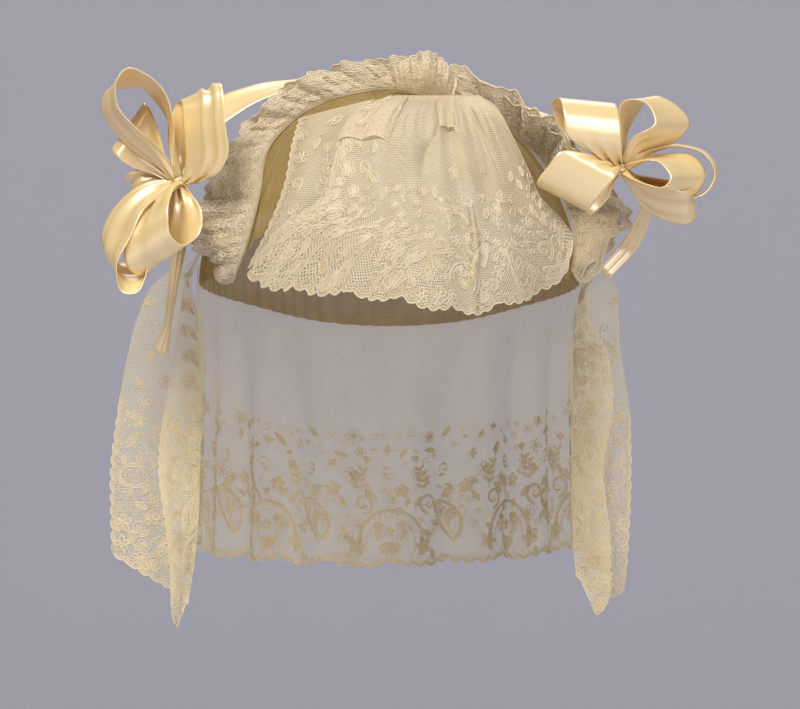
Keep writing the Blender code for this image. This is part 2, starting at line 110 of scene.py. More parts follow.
# Cotton net, machine woven in six-sided meshes: matt thread that shows what lies behind each mesh
netSettings = {
    "mesh": 0.00105, "threadShare": 0.14, "pale": "#F3E6BD", "deep": "#DDCB93", "roughness": 0.85, "ior": 1.5,
    "sheen": 0.1, "specular": 0.3, "bumpStrength": 0.4, "bumpHeight": 0.0001, "glow": 0.3,
}


def makeNet(name, settings):
    material, tree = newMaterial(name)
    flat = addNode(tree, "ShaderNodeUVMap", uv_map="cloth")
    stretched = addNode(tree, "ShaderNodeVectorMath", {
        0: flat, "Scale": 1 / settings["mesh"],
    }, operation="SCALE")
    # the meshes' middles lie on two grids, and each point belongs to the nearer middle
    repeat, half, none = (1.0, math.sqrt(3), 1.0), (0.5, math.sqrt(3) / 2, 0.0), (0.0, 0.0, 0.0)
    cells = []
    for shift in (none, half):
        place = stretched
        for operation, links in (
            ("SUBTRACT", {1: shift}), ("WRAP", {1: repeat, 2: none}), ("SUBTRACT", {1: half}),
        ):
            place = addNode(tree, "ShaderNodeVectorMath", {0: place, **links}, operation=operation)
        away = addNode(tree, "ShaderNodeVectorMath", {0: place}, operation="LENGTH").outputs["Value"]
        cells.append((place, away))
    nearer = addNode(tree, "ShaderNodeMath", {0: cells[1][1], 1: cells[0][1]}, operation="LESS_THAN")
    own = addNode(tree, "ShaderNodeMix", {0: nearer, 4: cells[0][0], 5: cells[1][0]}, data_type="VECTOR")
    folded = addNode(tree, "ShaderNodeVectorMath", {0: own.outputs[1]}, operation="ABSOLUTE")
    slant, upright = (
        addNode(tree, "ShaderNodeVectorMath", {0: folded, 1: way}, operation="DOT_PRODUCT").outputs["Value"]
        for way in (half, (1.0, 0.0, 0.0))
    )
    out = addNode(tree, "ShaderNodeMath", {0: slant, 1: upright}, operation="MAXIMUM")
    inner = 0.5 - settings["threadShare"]
    thread = addNode(tree, "ShaderNodeMapRange", {"Value": out, "From Min": inner, "From Max": inner + 0.05})
    colour = mottledColour(tree, settings, flat, 90.0, 3.0)[0]
    clothShader(tree, colour, settings, thread, thread)
    return material


# Applied cloth-work: closely woven cotton, matt, with the odd hole between its threads
workSettings = {
    "thread": 0.00042, "pale": "#E0D0AE", "deep": "#CDBB93", "roughness": 0.8, "ior": 1.5, "sheen": 0.15,
    "specular": 0.3, "bumpStrength": 0.6, "bumpHeight": 0.00015, "glow": 0.3, "open": 0.72,
}


def makeWork(name, settings):
    material, tree = newMaterial(name)
    place = addNode(tree, "ShaderNodeTexCoord").outputs["Object"]
    weave = addNode(tree, "ShaderNodeTexVoronoi", {
        "Vector": place, "Scale": 1 / settings["thread"], "Randomness": 0.6,
    }).outputs["Distance"]
    closed = addNode(tree, "ShaderNodeMapRange", {
        "Value": weave, "From Min": settings["open"], "From Max": settings["open"] - 0.15,
    })
    height = addNode(tree, "ShaderNodeMath", {0: 1.0, 1: weave}, operation="SUBTRACT")
    colour = mottledColour(tree, settings, place, 140.0, 3.0)[0]
    clothShader(tree, colour, settings, height, closed)
    return material


# Cordonnet: the thicker glazed cotton thread round each shape, brighter than the net
cordSettings = {
    "twist": 0.0006, "pale": "#EDE0C3", "deep": "#DDCBA3", "roughness": 0.6, "ior": 1.5, "sheen": 0.15,
    "specular": 0.4, "bumpStrength": 0.5, "bumpHeight": 0.00012, "glow": 0.2,
}


def makeCord(name, settings):
    material, tree = newMaterial(name)
    place = addNode(tree, "ShaderNodeTexCoord").outputs["Object"]
    twist = addNode(tree, "ShaderNodeTexNoise", {
        "Vector": place, "Scale": 1 / settings["twist"], "Detail": 2.0,
    })
    colour = mottledColour(tree, settings, place, 60.0, 2.0)[0]
    clothShader(tree, colour, settings, twist)
    return material


# Silk satin: long floats of warp lie along the ribbon, so its gloss runs in bands across it
satinSettings = {
    "pale": "#F8E2A9", "deep": "#F0D38A", "roughness": 0.34, "sheen": 0.0, "specular": 1.0,
    "ior": 2.0,  # packed silk floats throw back more light than one flat face of silk would
    "bumpStrength": 0.08, "bumpHeight": 0.0002, "anisotropy": 0.6, "lustre": 0.12, "glow": 0.2,
    "floats": 0.0007,  # a silk float is about 0.1 mm wide, drawn coarser so that it shows
}


def makeSatin(name, settings):
    material, tree = newMaterial(name)
    flat = addNode(tree, "ShaderNodeUVMap", uv_map="cloth")
    grain = addNode(tree, "ShaderNodeVectorMath", {0: flat, 1: (0.06, 1.0, 1.0)}, operation="MULTIPLY")
    colour, floats = mottledColour(tree, settings, grain, 1 / settings["floats"], 2.0)
    soft = addNode(tree, "ShaderNodeTexNoise", {"Vector": flat, "Scale": 55.0, "Detail": 2.0})
    height = addNode(tree, "ShaderNodeMath", {0: floats, 1: soft}, operation="ADD")
    surface = clothShader(tree, colour, settings, height)
    surface.inputs["Anisotropic"].default_value = settings["anisotropy"]
    surface.inputs["Anisotropic Rotation"].default_value = 0.25  # a quarter turn, across the floats
    surface.inputs["Metallic"].default_value = settings["lustre"]
    along = addNode(tree, "ShaderNodeTangent", direction_type="UV_MAP", uv_map="cloth")
    tree.links.new(along.outputs[0], surface.inputs["Tangent"])
    return material


openNet = makeNet("cottonNet", netSettings)
denseNet = makeNet("denseCottonNet", dict(netSettings, threadShare=0.25, pale="#E8DBBC", deep="#D4C49E"))
# the crown's close net: its own golden tone is darkened to olive with painted shade of the cap's hollow
crownNetPaintedShade = makeNet("closeCottonNetPaintedShade", dict(
    netSettings, mesh=0.0009, threadShare=0.33, glow=0.34, pale="#B39A60", deep="#8E7438",
))
appliedCloth = makeWork("appliedCottonCloth", workSettings)
outlineThread = makeCord("glazedCottonThread", cordSettings)
silkSatin = makeSatin("silkSatin", satinSettings)
print("materials made")


def through(rows, t):
    # the other columns at t, on a smooth curve through the rows, whose first column is t
    table = np.array(rows, float)
    knots, values = table[:, 0], table[:, 1:]
    slopes = np.gradient(values, knots, axis=0)
    t = np.asarray(t, float)
    i = np.clip(np.searchsorted(knots, t, side="right") - 1, 0, len(knots) - 2)
    span = (knots[i + 1] - knots[i])[..., None]
    s = (t - knots[i])[..., None] / span
    return (
        (2 * s**3 - 3 * s**2 + 1) * values[i]
        + (s**3 - 2 * s**2 + s) * span * slopes[i]
        + (3 * s**2 - 2 * s**3) * values[i + 1]
        + (s**3 - s**2) * span * slopes[i + 1]
    )


def slopeAt(rows, t, step=0.01):
    # the way the columns go at t
    return through(rows, np.minimum(t + step, 1)) - through(rows, np.maximum(t - step, 0))


def eased(t):
    t = np.clip(t, 0.0, 1.0)
    return t * t * (3 - 2 * t)


def unitRows(vectors):
    return vectors / np.maximum(np.linalg.norm(vectors, axis=-1, keepdims=True), 1e-9)


def wave(at, count, shift=0.0):
    return np.sin(2 * math.pi * (count * at + shift))


def scallops(at, count):
    return np.abs(wave(at, count / 2)) ** 0.7


# The cap's hollow, an ellipsoid in millimetres whose top is the origin
hollow = {
    "centre": np.array([0.0, 2.0, -88.0]), "radii": np.array([77.0, 97.0, 88.0]),
    "browShare": 0.25, "browSoftness": 0.06,
}


def frontOfHollow(x, z, lift, share):
    wide, deep, tall = (radius + lift for radius in hollow["radii"])
    left = 1 - (x / wide) ** 2 - ((z - hollow["centre"][2]) / tall) ** 2 - share
    kept = share + (left + np.hypot(left, hollow["browSoftness"])) / 2
    return hollow["centre"][1] - deep * np.sqrt(kept)


def onHollow(bearing, polar, lift):
    wide, deep, tall = (radius + lift for radius in hollow["radii"])
    turn, down = np.radians(bearing), np.radians(polar)
    return hollow["centre"] + np.stack([
        wide * np.sin(down) * np.sin(turn), -deep * np.sin(down) * np.cos(turn), tall * np.cos(down),
    ], axis=-1)


def topOfHollow(x, y, lift):
    wide, deep, tall = (radius + lift for radius in hollow["radii"])
    return hollow["centre"][2] + tall * np.sqrt(1 - (x / wide) ** 2 - ((y - hollow["centre"][1]) / deep) ** 2)


def meshPiece(name, points, faces, material, maps):
    # points in millimetres; each map gives a point its place on the flat cloth
    mesh = bpy.data.meshes.new(name)
    middles = points[faces].mean(axis=1)
    normals = np.cross(points[faces[:, 2]] - points[faces[:, 0]], points[faces[:, 3]] - points[faces[:, 1]])
    if (normals * (middles - hollow["centre"])).sum() < 0:
        faces = faces[:, ::-1]
    mesh.from_pydata((points * 0.001).tolist(), [], faces.tolist())
    corners = faces.ravel()
    for layer, values in maps.items():
        mesh.uv_layers.new(name=layer).data.foreach_set("uv", values[corners].ravel())
    mesh.materials.append(material)
    mesh.shade_smooth()
    piece = bpy.data.objects.new(name, mesh)
    bpy.context.scene.collection.objects.link(piece)
    return piece


def gridFaces(columns, rows):
    corner = (np.arange(rows)[:, None] * (columns + 1) + np.arange(columns)[None, :]).ravel()
    return np.stack([corner, corner + columns + 1, corner + columns + 2, corner + 1], axis=-1)


def gridShares(columns, rows):
    # each point's share of the way across and down a grid
    across, down = np.meshgrid(np.linspace(0, 1, columns + 1), np.linspace(0, 1, rows + 1))
    return across.ravel(), down.ravel()


def lobeDip(at, lobe):
    # how far the lace's edge draws back from its furthest line, between one lobe and the next
    return lobe[1] * (1 - np.abs(np.sin(math.pi * at / lobe[0])) ** 0.6)


def cutSides(cut, down):
    return through(cut.get("edges", [(0, 0, cut["width"]), (1, 0, cut["width"])]), down).T


def cutLength(cut, across):
    return through(cut.get("lengths", [(0, cut["length"]), (1, cut["length"])]), across)[:, 0]


def flatPlace(cut, across, down):
    # from shares of the cut to millimetres on it: it may taper, and its edges are lobed
    left, right = cutSides(cut, down)
    y = down * (cutLength(cut, across) - lobeDip(left + across * (right - left), cut["lobe"]))
    dip = lobeDip(y, cut["lobe"]) * eased((down - cut.get("lobesFrom", -1)) * 12)
    left = left + (dip if "left" in cut["lobedSides"] else 0)
    right = right - (dip if "right" in cut["lobedSides"] else 0)
    return left + across * (right - left), y


def cutArea(cut, steps=200):
    # the flat cut's own area in square metres
    x, y = (values.reshape(steps + 1, steps + 1) for values in flatPlace(cut, *gridShares(steps, steps)))
    wide, tall = np.diff(x, axis=1)[:-1], np.diff(y, axis=0)[:, :-1]
    return float((wide * tall).sum()) * 1e-6


def laceSheet(name, cut, surface):
    across, down = gridShares(cut["columns"], cut["rows"])
    x, y = flatPlace(cut, across, down)
    left, right = cutSides(cut, down)
    points = surface((x - left) / (right - left), y / cutLength(cut, across))
    flat = np.stack([x, y], axis=-1)
    maps = {"cloth": flat * 0.001, "place": flat / max(cut["width"], cut["length"])}
    return meshPiece(name, points, gridFaces(cut["columns"], cut["rows"]), cut["net"], maps)


# Drawings of the lace's shapes in millimetres, +Y away from the hem: closed cloth-work and the
# thread that outlines it
def newDrawing():
    return {"points": [], "edges": [], "faces": [], "cord": [], "thick": []}


def addPoints(drawing, points, cord, thick=0.0):
    first = len(drawing["points"])
    drawing["points"] += [(float(x), float(y), 0.0) for x, y in points]
    drawing["cord"] += [cord] * len(points)
    drawing["thick"] += [thick] * len(points)
    return first


def drawThread(drawing, line, thick=0.27, closed=False):
    first = addPoints(drawing, line, True, thick)
    drawing["edges"] += [(first + i, first + i + 1) for i in range(len(line) - 1)]
    if closed:
        drawing["edges"].append((first + len(line) - 1, first))


def drawCloth(drawing, outline):
    first = addPoints(drawing, [np.mean(outline, axis=0), *outline], False)
    count = len(outline)
    drawing["faces"] += [(first, first + 1 + i, first + 1 + (i + 1) % count) for i in range(count)]


def drawBand(drawing, inner, outer):
    first = addPoints(drawing, [*inner, *outer], False)
    count = len(inner)
    drawing["faces"] += [(i, i + 1, i + 1 + count, i + count) for i in range(first, first + count - 1)]


def placed(points, degrees=0.0, x=0.0, y=0.0, size=1.0):
    turn = math.radians(degrees)
    points = np.asarray(points, float) * size
    return np.column_stack([
        points[:, 0] * math.cos(turn) - points[:, 1] * math.sin(turn) + x,
        points[:, 0] * math.sin(turn) + points[:, 1] * math.cos(turn) + y,
    ])


def curveLine(radius, degrees, wide=1.0):
    # round the middle; the radius may change on the way
    angle = np.radians(degrees)
    return np.column_stack([radius * wide * np.cos(angle), radius * np.sin(angle)])


def ringLine(radius, count, wide=1.0):
    return curveLine(radius, np.linspace(0, 360, count, endpoint=False), wide)


def petalLine(length, width, count=11, base=0.0):
    # a drop whose point is at the base
    turn = np.linspace(0, 2 * math.pi, count, endpoint=False)
    side = width * 0.55 * np.sin(turn) * np.sin(turn / 2) ** 0.5
    return np.column_stack([side, base + length * (1 - np.cos(turn)) / 2])


def leafLine(length, width, count=12):
    # pointed at both ends
    s = np.linspace(0, 1, count // 2 + 1)
    side = width / 2 * np.sin(math.pi * s) ** 0.9
    right = np.column_stack([side, length * s])
    left = np.column_stack([-side[-2:0:-1], length * s[-2:0:-1]])
    return np.vstack([right, left])


def drawShapes(drawing, rows, thick=0.24):
    # cloth-work with thread round it; rows are an outline and its turn, x, y and size
    for outline, *place in rows:
        shape = placed(outline, *place)
        drawCloth(drawing, shape)
        drawThread(drawing, shape, thick, closed=True)
    return drawing


def drawFlower(petals, length, width, closed=True, centre=0.7):
    drawing = newDrawing()
    for k in range(petals):
        petal = placed(petalLine(length, width, base=centre), 360 / petals * k)
        if closed:
            drawCloth(drawing, petal)
        drawThread(drawing, petal, closed=True)
    if not closed:
        drawCloth(drawing, ringLine(centre * 0.9, 8))
    drawThread(drawing, ringLine(centre, 7), closed=True)
    return drawing


def drawLeaf(length, width):
    drawing = drawShapes(newDrawing(), [(leafLine(length, width),)], 0.27)
    drawThread(drawing, [(0, length * 0.1), (0.1, length * 0.5), (0, length * 0.9)], 0.18)
    return drawing


def drawSpray():
    # a bent stem with pairs of leaves and a bud at its tip
    drawing = newDrawing()
    s = np.linspace(0, 1, 12)
    stem = np.column_stack([2.2 * np.sin(1.6 * math.pi * s) * s, 19 * s])
    drawThread(drawing, stem, 0.24)
    leaves = [
        (leafLine(5.4, 2.2), side, *stem[k], size)
        for k, size in ((2, 1.0), (4, 0.95), (6, 0.85), (8, 0.7)) for side in (-52, 52)
    ]
    buds = [(petalLine(3.2, 1.7), side, *stem[-1]) for side in (-34, 0, 34)]
    return drawShapes(drawing, leaves + buds, 0.22)


def drawScroll():
    # a curled band of cloth-work with bars across its opening
    drawing = newDrawing()
    turn = np.linspace(0, 1, 26)
    outer = 6.6 - 4.6 * turn**0.8
    lines = [curveLine(r, -60 + 430 * turn) for r in (outer, outer - 1.5 * (1 - 0.6 * turn))]
    drawBand(drawing, *lines)
    for line in lines:
        drawThread(drawing, line, 0.24)
    drawThread(drawing, ringLine(0.8, 7), 0.24, closed=True)
    for k in range(2, 13, 2):
        drawThread(drawing, [lines[1][k], lines[1][k] * 0.62], 0.16)
    return drawing


def drawPaisley():
    # a bent drop: cloth-work rim, rungs inside it, and a small leaf at its middle
    drawing = newDrawing()
    base = petalLine(21, 13.5, 34)
    bent = np.column_stack([base[:, 0] + 0.018 * base[:, 1] ** 2, base[:, 1]])
    middle = np.array([2.4, 11.5])
    rims = [middle + (bent - middle) * share for share in (1.0, 0.86, 0.8, 0.55)]
    drawBand(drawing, *(np.vstack([rim, rim[:1]]) for rim in rims[:2]))
    for rim in rims:
        drawThread(drawing, rim, 0.24, closed=True)
    for k in range(1, 34, 2):
        drawThread(drawing, [rims[2][k], rims[3][k]], 0.18)
    return drawShapes(drawing, [(leafLine(8.5, 3.4), -8, 2.2, 7.0)], 0.22)


def drawMedallion():
    # half-moon with a double rim, rungs, drops and a flower inside, and a fan of petals below
    drawing = newDrawing()
    sizes = ((16.5, 15.5), (15.1, 14.1), (12.2, 11.2))
    rims = [curveLine(tall, np.linspace(-24, 204, 36), wide / tall) + [0, 2] for wide, tall in sizes]
    drawBand(drawing, rims[0], rims[1])
    for rim in rims:
        drawThread(drawing, rim, 0.26)
    for k in range(1, 35, 2):
        drawThread(drawing, [rims[1][k], rims[2][k]], 0.17)
    drops = ((10, 5.2, -28, 4.4, 0.6), (5.6, 2.6, -52, 3.4, 6.6), (4.4, 2.4, -78, 3.0, 9.4))
    for side in (-1, 1):
        for length, width, degrees, x, y in drops:
            place = (degrees * side, x * side, y)
            drawThread(drawing, placed(petalLine(length, width, 14), *place), 0.24, closed=True)
            drawShapes(drawing, [(petalLine(length * 0.62, width * 0.5, 10, length * 0.2), *place)], 0.2)
    drawShapes(drawing, [(petalLine(2.2, 1.7, 9, 0.5), 72 * k, 0, 6.2) for k in range(5)], 0.2)
    return drawShapes(drawing, [(petalLine(5.6, 2.7, 11, 0.8), 110 + 28 * k, 0, 1.2) for k in range(6)])


def drawShell():
    # a fan of five petals with a double line over it
    drawing = drawShapes(newDrawing(), [(petalLine(6.2, 3.0, 11, 1.0), 32 * k) for k in range(-2, 3)])
    for radius in (8.2, 9.4):
        drawThread(drawing, curveLine(radius, np.linspace(5, 175, 16)), 0.24)
    return drawing


def drawRinglet(radius):
    drawing = newDrawing()
    drawCloth(drawing, ringLine(radius * 0.55, 7))
    drawThread(drawing, ringLine(radius, 9), 0.22, closed=True)
    return drawing


def drawTendril():
    drawing = newDrawing()
    s = np.linspace(0, 1, 20)
    line = curveLine(5.2 - 4.4 * s, 500 * s) + np.outer(s, [9, 0])
    drawThread(drawing, line, 0.24)
    return drawShapes(drawing, [(leafLine(3.4, 1.7, 8), 40 * k, *line[k]) for k in (3, 7, 11)], 0.2)


def drawCurl():
    drawing = newDrawing()
    s = np.linspace(0, 1, 12)
    drawThread(drawing, np.vstack([[(2.6, -2.4)], curveLine(2.3 - 1.7 * s, 420 * s)]), 0.24)
    return drawing


def drawSprig():
    drawing = newDrawing()
    drawThread(drawing, [(0.5, -3.4), (0.1, -1.0), (0.0, 1.6)], 0.22)
    return drawShapes(drawing, [(leafLine(3.4, 1.6, 8), side, 0, 0.4) for side in (-58, 0, 58)], 0.22)


def drawMesh(wide, tall, pitch=1.45):
    # an oval of six-sided meshes of thread
    drawing = newDrawing()
    corner, rise = 0.577 * pitch, 0.866 * pitch
    turns = [k * math.pi / 3 for k in range(4)]
    for row in range(-8, 9):
        for column in range(-8, 9):
            x, y = (column + 0.5 * (row % 2)) * pitch, row * rise
            if (x / wide) ** 2 + (y / tall) ** 2 < 1:
                corners = [(x + corner * math.sin(turn), y + corner * math.cos(turn)) for turn in turns]
                drawThread(drawing, corners, 0.13)
    return drawing


def drawCartouche():
    # an oval of open mesh in a double line, with leaves springing from it
    drawing = drawMesh(5.2, 3.7)
    rims = [ringLine(tall, 26, wide / tall) for wide, tall in ((5.8, 4.3), (6.9, 5.3))]
    for rim in rims:
        drawThread(drawing, rim, 0.25, closed=True)
    drawBand(drawing, *(np.vstack([rim, rim[:1]]) for rim in rims[::-1]))
    leaves = (
        (40, -5, 4, 1), (5, 0, 5.4, 1.1), (-40, 5, 4.4, 1), (-120, 6.4, -2.5, 0.9), (130, -6.2, -3, 0.9),
        (180, 1, -5.2, 0.8),
    )
    return drawShapes(drawing, [(leafLine(5.0, 2.3), *place) for place in leaves], 0.22)


# each drawing, and how far it reaches from its place in millimetres
motifs = {
    "cartouche": (drawCartouche(), 8.5),
    "openMesh": (drawMesh(6.5, 4.5), 5.5),
    "curl": (drawCurl(), 2.0),
    "sprig": (drawSprig(), 3.0),
    "blossom": (drawFlower(5, 2.9, 2.5), 3.4),
    "openBlossom": (drawFlower(5, 2.6, 2.3, closed=False, centre=0.9), 3.4),
    "daisy": (drawFlower(8, 2.6, 1.4, centre=0.9), 3.4),
    "leaf": (drawLeaf(6.5, 2.7), 2.6),
    "broadLeaf": (drawLeaf(8.5, 4.2), 3.4),
    "spray": (drawSpray(), 6.0),
    "scroll": (drawScroll(), 6.4),
    "paisley": (drawPaisley(), 9.5),
    "medallion": (drawMedallion(), 15.0),
    "shell": (drawShell(), 7.0),
    "ringlet": (drawRinglet(1.2), 1.3),
    "bigRing": (drawRinglet(2.1), 2.2),
    "tendril": (drawTendril(), 6.5),
}


def placesOf(groups):
    # rows of drawing, x and y on the flat cloth in millimetres, turn in degrees, size, and -1 to mirror
    return [(motif, *place, 1)[:6] for motif, places in groups.items() for place in places]


def motifObject(name, drawing, shelf):
    # the cloth's flat Y runs down to the hem, so a drawing is turned over here
    mesh = bpy.data.meshes.new(name)
    mesh.from_pydata([(x, -y, 0.0) for x, y, _ in drawing["points"]], drawing["edges"], drawing["faces"])
    mesh.attributes.new("cord", "BOOLEAN", "POINT").data.foreach_set("value", drawing["cord"])
    mesh.attributes.new("thick", "FLOAT", "POINT").data.foreach_set("value", drawing["thick"])
    made = bpy.data.objects.new(name, mesh)
    shelf.objects.link(made)
    return made


def makeLaceTree():
    # sets a drawing at every point, then lays it on the draped cloth by the cloth's flat map
    tree = bpy.data.node_groups.new("laceWork", "GeometryNodeTree")
    for name, kind in (
        ("Places", "NodeSocketGeometry"), ("Cloth", "NodeSocketObject"), ("Drawings", "NodeSocketCollection"),
        ("Map Share", "NodeSocketFloat"), ("Lift", "NodeSocketFloat"), ("Thread Sides", "NodeSocketInt"),
        ("Thread", "NodeSocketMaterial"), ("Cloth-work", "NodeSocketMaterial"),
    ):
        tree.interface.new_socket(name=name, in_out="INPUT", socket_type=kind)
    tree.interface.new_socket(name="Lace", in_out="OUTPUT", socket_type="NodeSocketGeometry")
    given = addNode(tree, "NodeGroupInput").outputs
    shelf = addNode(tree, "GeometryNodeCollectionInfo", {
        "Collection": given["Drawings"], "Separate Children": True, "Reset Children": True,
    })
    named = {
        name: addNode(tree, "GeometryNodeInputNamedAttribute", {"Name": name}, data_type=kind)
        for name, kind in (
            ("kind", "INT"), ("turn", "FLOAT"), ("size", "FLOAT_VECTOR"), ("place", "FLOAT_VECTOR"),
            ("cord", "BOOLEAN"), ("thick", "FLOAT"),
        )
    }
    turned = addNode(tree, "FunctionNodeAxisAngleToRotation", {
        "Axis": (0.0, 0.0, 1.0), "Angle": named["turn"],
    })
    dealt = addNode(tree, "GeometryNodeInstanceOnPoints", {
        "Points": given["Places"], "Instance": shelf, "Pick Instance": True,
        "Instance Index": named["kind"], "Rotation": turned, "Scale": named["size"],
    })
    flat = addNode(tree, "GeometryNodeRealizeInstances", {"Geometry": dealt})
    cloth = addNode(tree, "GeometryNodeObjectInfo", {"Object": given["Cloth"]})
    where = addNode(tree, "GeometryNodeInputPosition")
    onMap = addNode(tree, "ShaderNodeVectorMath", {0: where, "Scale": given["Map Share"]}, operation="SCALE")
    normal = addNode(tree, "GeometryNodeInputNormal")
    found = [
        addNode(tree, "GeometryNodeSampleUVSurface", {
            "Mesh": cloth.outputs["Geometry"], "Value": value, "UV Map": named["place"],
            "Sample UV": onMap,
        }, data_type="FLOAT_VECTOR")
        for value in (where, normal)
    ]
    off = addNode(tree, "FunctionNodeBooleanMath", {0: found[0].outputs["Is Valid"]}, operation="NOT")
    kept = addNode(tree, "GeometryNodeDeleteGeometry", {"Geometry": flat, "Selection": off})
    raised = addNode(tree, "ShaderNodeVectorMath", {
        0: found[1].outputs["Value"], "Scale": given["Lift"],
    }, operation="SCALE")
    laid = addNode(tree, "GeometryNodeSetPosition", {
        "Geometry": kept, "Position": found[0].outputs["Value"], "Offset": raised,
    })
    split = addNode(tree, "GeometryNodeSeparateGeometry", {"Geometry": laid, "Selection": named["cord"]})
    curves = addNode(tree, "GeometryNodeMeshToCurve", {"Mesh": split.outputs["Selection"]})
    metres = addNode(tree, "ShaderNodeMath", {0: named["thick"], 1: 0.001}, operation="MULTIPLY")
    profile = addNode(tree, "GeometryNodeCurvePrimitiveCircle", {
        "Resolution": given["Thread Sides"], "Radius": 1.0,
    })
    tubes = addNode(tree, "GeometryNodeCurveToMesh", {
        "Curve": curves, "Profile Curve": profile, "Scale": metres, "Fill Caps": True,
    })
    threads = addNode(tree, "GeometryNodeSetMaterial", {"Geometry": tubes, "Material": given["Thread"]})
    patches = addNode(tree, "GeometryNodeSetMaterial", {
        "Geometry": split.outputs["Inverted"], "Material": given["Cloth-work"],
    })
    joined = addNode(tree, "GeometryNodeJoinGeometry")
    for part in (patches, threads):
        tree.links.new(part.outputs[0], joined.inputs[0])
    smooth = addNode(tree, "GeometryNodeSetShadeSmooth", {"Geometry": joined})
    single = addNode(tree, "GeometryNodeRealizeInstances", {"Geometry": smooth})
    addNode(tree, "NodeGroupOutput", {0: single})
    return tree


laceTree = makeLaceTree()


def plainMesh(obj, name):
    # the evaluated result as a mesh of its own, with no modifier left on it
    shown = obj.evaluated_get(bpy.context.evaluated_depsgraph_get())
    made = bpy.data.objects.new(name, bpy.data.meshes.new_from_object(shown))
    made.data.name = name
    bpy.context.scene.collection.objects.link(made)
    bpy.data.objects.remove(obj, do_unlink=True)
    return made


def outlineOf(cut, across, down, inset):
    # a line of the cut's outline in a drawing's own X and Y, drawn in by the inset
    x, y = flatPlace(cut, across, down)
    line = np.column_stack([x, -y])
    along = unitRows(np.gradient(line, axis=0))
    return line + inset * np.column_stack([-along[:, 1], along[:, 0]])


def edgeDrawing(cut):
    # the lobed hem and sides: outline threads with cloth-work between, and a ring in each lobe
    drawing = newDrawing()
    steps, tall = (int(cut[size] / 0.75) for size in ("width", "length"))
    hem = (np.linspace(0.004, 0.996, steps), np.ones(steps))
    for side in (0, 1):
        line = outlineOf(cut, np.full(60, side), np.linspace(0.01, 0.99, 60), 0.3 - 0.6 * side)
        drawThread(drawing, line, 0.14)
    if cut.get("plain"):
        drawThread(drawing, outlineOf(cut, *hem, 0.3), 0.16)
        return drawing
    runs = [hem]
    start = max(cut.get("lobesFrom", 0), 0.01)
    if "left" in cut["lobedSides"]:
        runs.append((np.zeros(tall), np.linspace(start, 0.985, tall)))
    if "right" in cut["lobedSides"]:
        runs.append((np.ones(tall), np.linspace(0.985, start, tall)))
    for run in runs:
        lines = [outlineOf(cut, *run, inset) for inset in (0.3, 1.5, 2.3)]
        drawBand(drawing, lines[0], lines[1])
        for line, thick in zip(lines, (0.3, 0.2, 0.16)):
            drawThread(drawing, line, thick)
        length = np.concatenate([[0.0], np.cumsum(np.linalg.norm(np.diff(lines[0], axis=0), axis=1))])
        middle = outlineOf(cut, *run, 3.7)
        for k in range(int(length[-1] / 5.2)):
            i = np.searchsorted(length, (k + 0.5) * 5.2)
            drawThread(drawing, placed(ringLine(0.95, 7), 0, *middle[i]), 0.2, closed=True)
    return drawing


# the applied work lies 0.2 mm over its net, and its threads are drawn with few sides
laceBasics = {"net": denseNet, "lobedSides": (), "lift": 0.0002, "threadSides": 4}


def makeLaceWork(name, cut, sheet, places):
    shelf = bpy.data.collections.new(name + "Drawings")
    drawings = {"edge": edgeDrawing(cut), **{motif: drawing for motif, (drawing, reach) in motifs.items()}}
    order = sorted(drawings)
    for i, motif in enumerate(order):
        motifObject(f"{i:02d}{motif}", drawings[motif], shelf)
    places = [("edge", 0, 0, 0, 1, 1), *places]
    mesh = bpy.data.meshes.new(name)
    mesh.from_pydata([(row[1], row[2], 0.0) for row in places], [], [])
    sizes = [value for row in places for value in (row[4] * row[5], row[4], row[4])]
    for attribute, kind, field, values in (
        ("kind", "INT", "value", [order.index(row[0]) for row in places]),
        ("turn", "FLOAT", "value", [math.radians(row[3]) for row in places]),
        ("size", "FLOAT_VECTOR", "vector", sizes),
    ):
        mesh.attributes.new(attribute, kind, "POINT").data.foreach_set(field, values)
    holder = bpy.data.objects.new(name + "Places", mesh)
    layer = holder.modifiers.new("laceWork", "NODES")
    layer.node_group = laceTree
    wanted = {
        "Cloth": sheet, "Drawings": shelf, "Map Share": 1 / max(cut["width"], cut["length"]),
        "Lift": cut["lift"], "Thread Sides": cut["threadSides"], "Thread": outlineThread,
        "Cloth-work": appliedCloth,
    }
    for socket in laceTree.interface.items_tree:
        if socket.in_out == "INPUT" and socket.name in wanted:
            layer[socket.identifier] = wanted[socket.name]
    bpy.context.scene.collection.objects.link(holder)
    work = plainMesh(holder, name)
    for motif in list(shelf.objects):
        bpy.data.objects.remove(motif, do_unlink=True)
    bpy.data.collections.remove(shelf)
    return work


def triangles(piece):
    return sum(len(face.vertices) - 2 for face in piece.data.polygons)


def joinCap(piece, node):
    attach(piece, "root")
    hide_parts(node)


def finishLace(name, cut, surface, places, node):
    sheet = laceSheet(name, cut, surface)
    work = makeLaceWork(name + "Work", cut, sheet, places)
    joinCap(sheet, node)
    joinCap(work, node)
    area = cutArea(cut)
    share = sum(face.area for face in sheet.data.polygons) / area
    print(name, "net", triangles(sheet), "work", triangles(work), "triangles, area share", round(share, 2))


def hemAt(cut, x):
    # how far down the cut's hem lies at x
    across = np.linspace(0, 1, 101)
    return np.interp(x, *flatPlace(cut, across, np.ones(101)))


smallShapes = ("ringlet", "leaf", "openBlossom", "curl", "sprig", "ringlet", "bigRing")


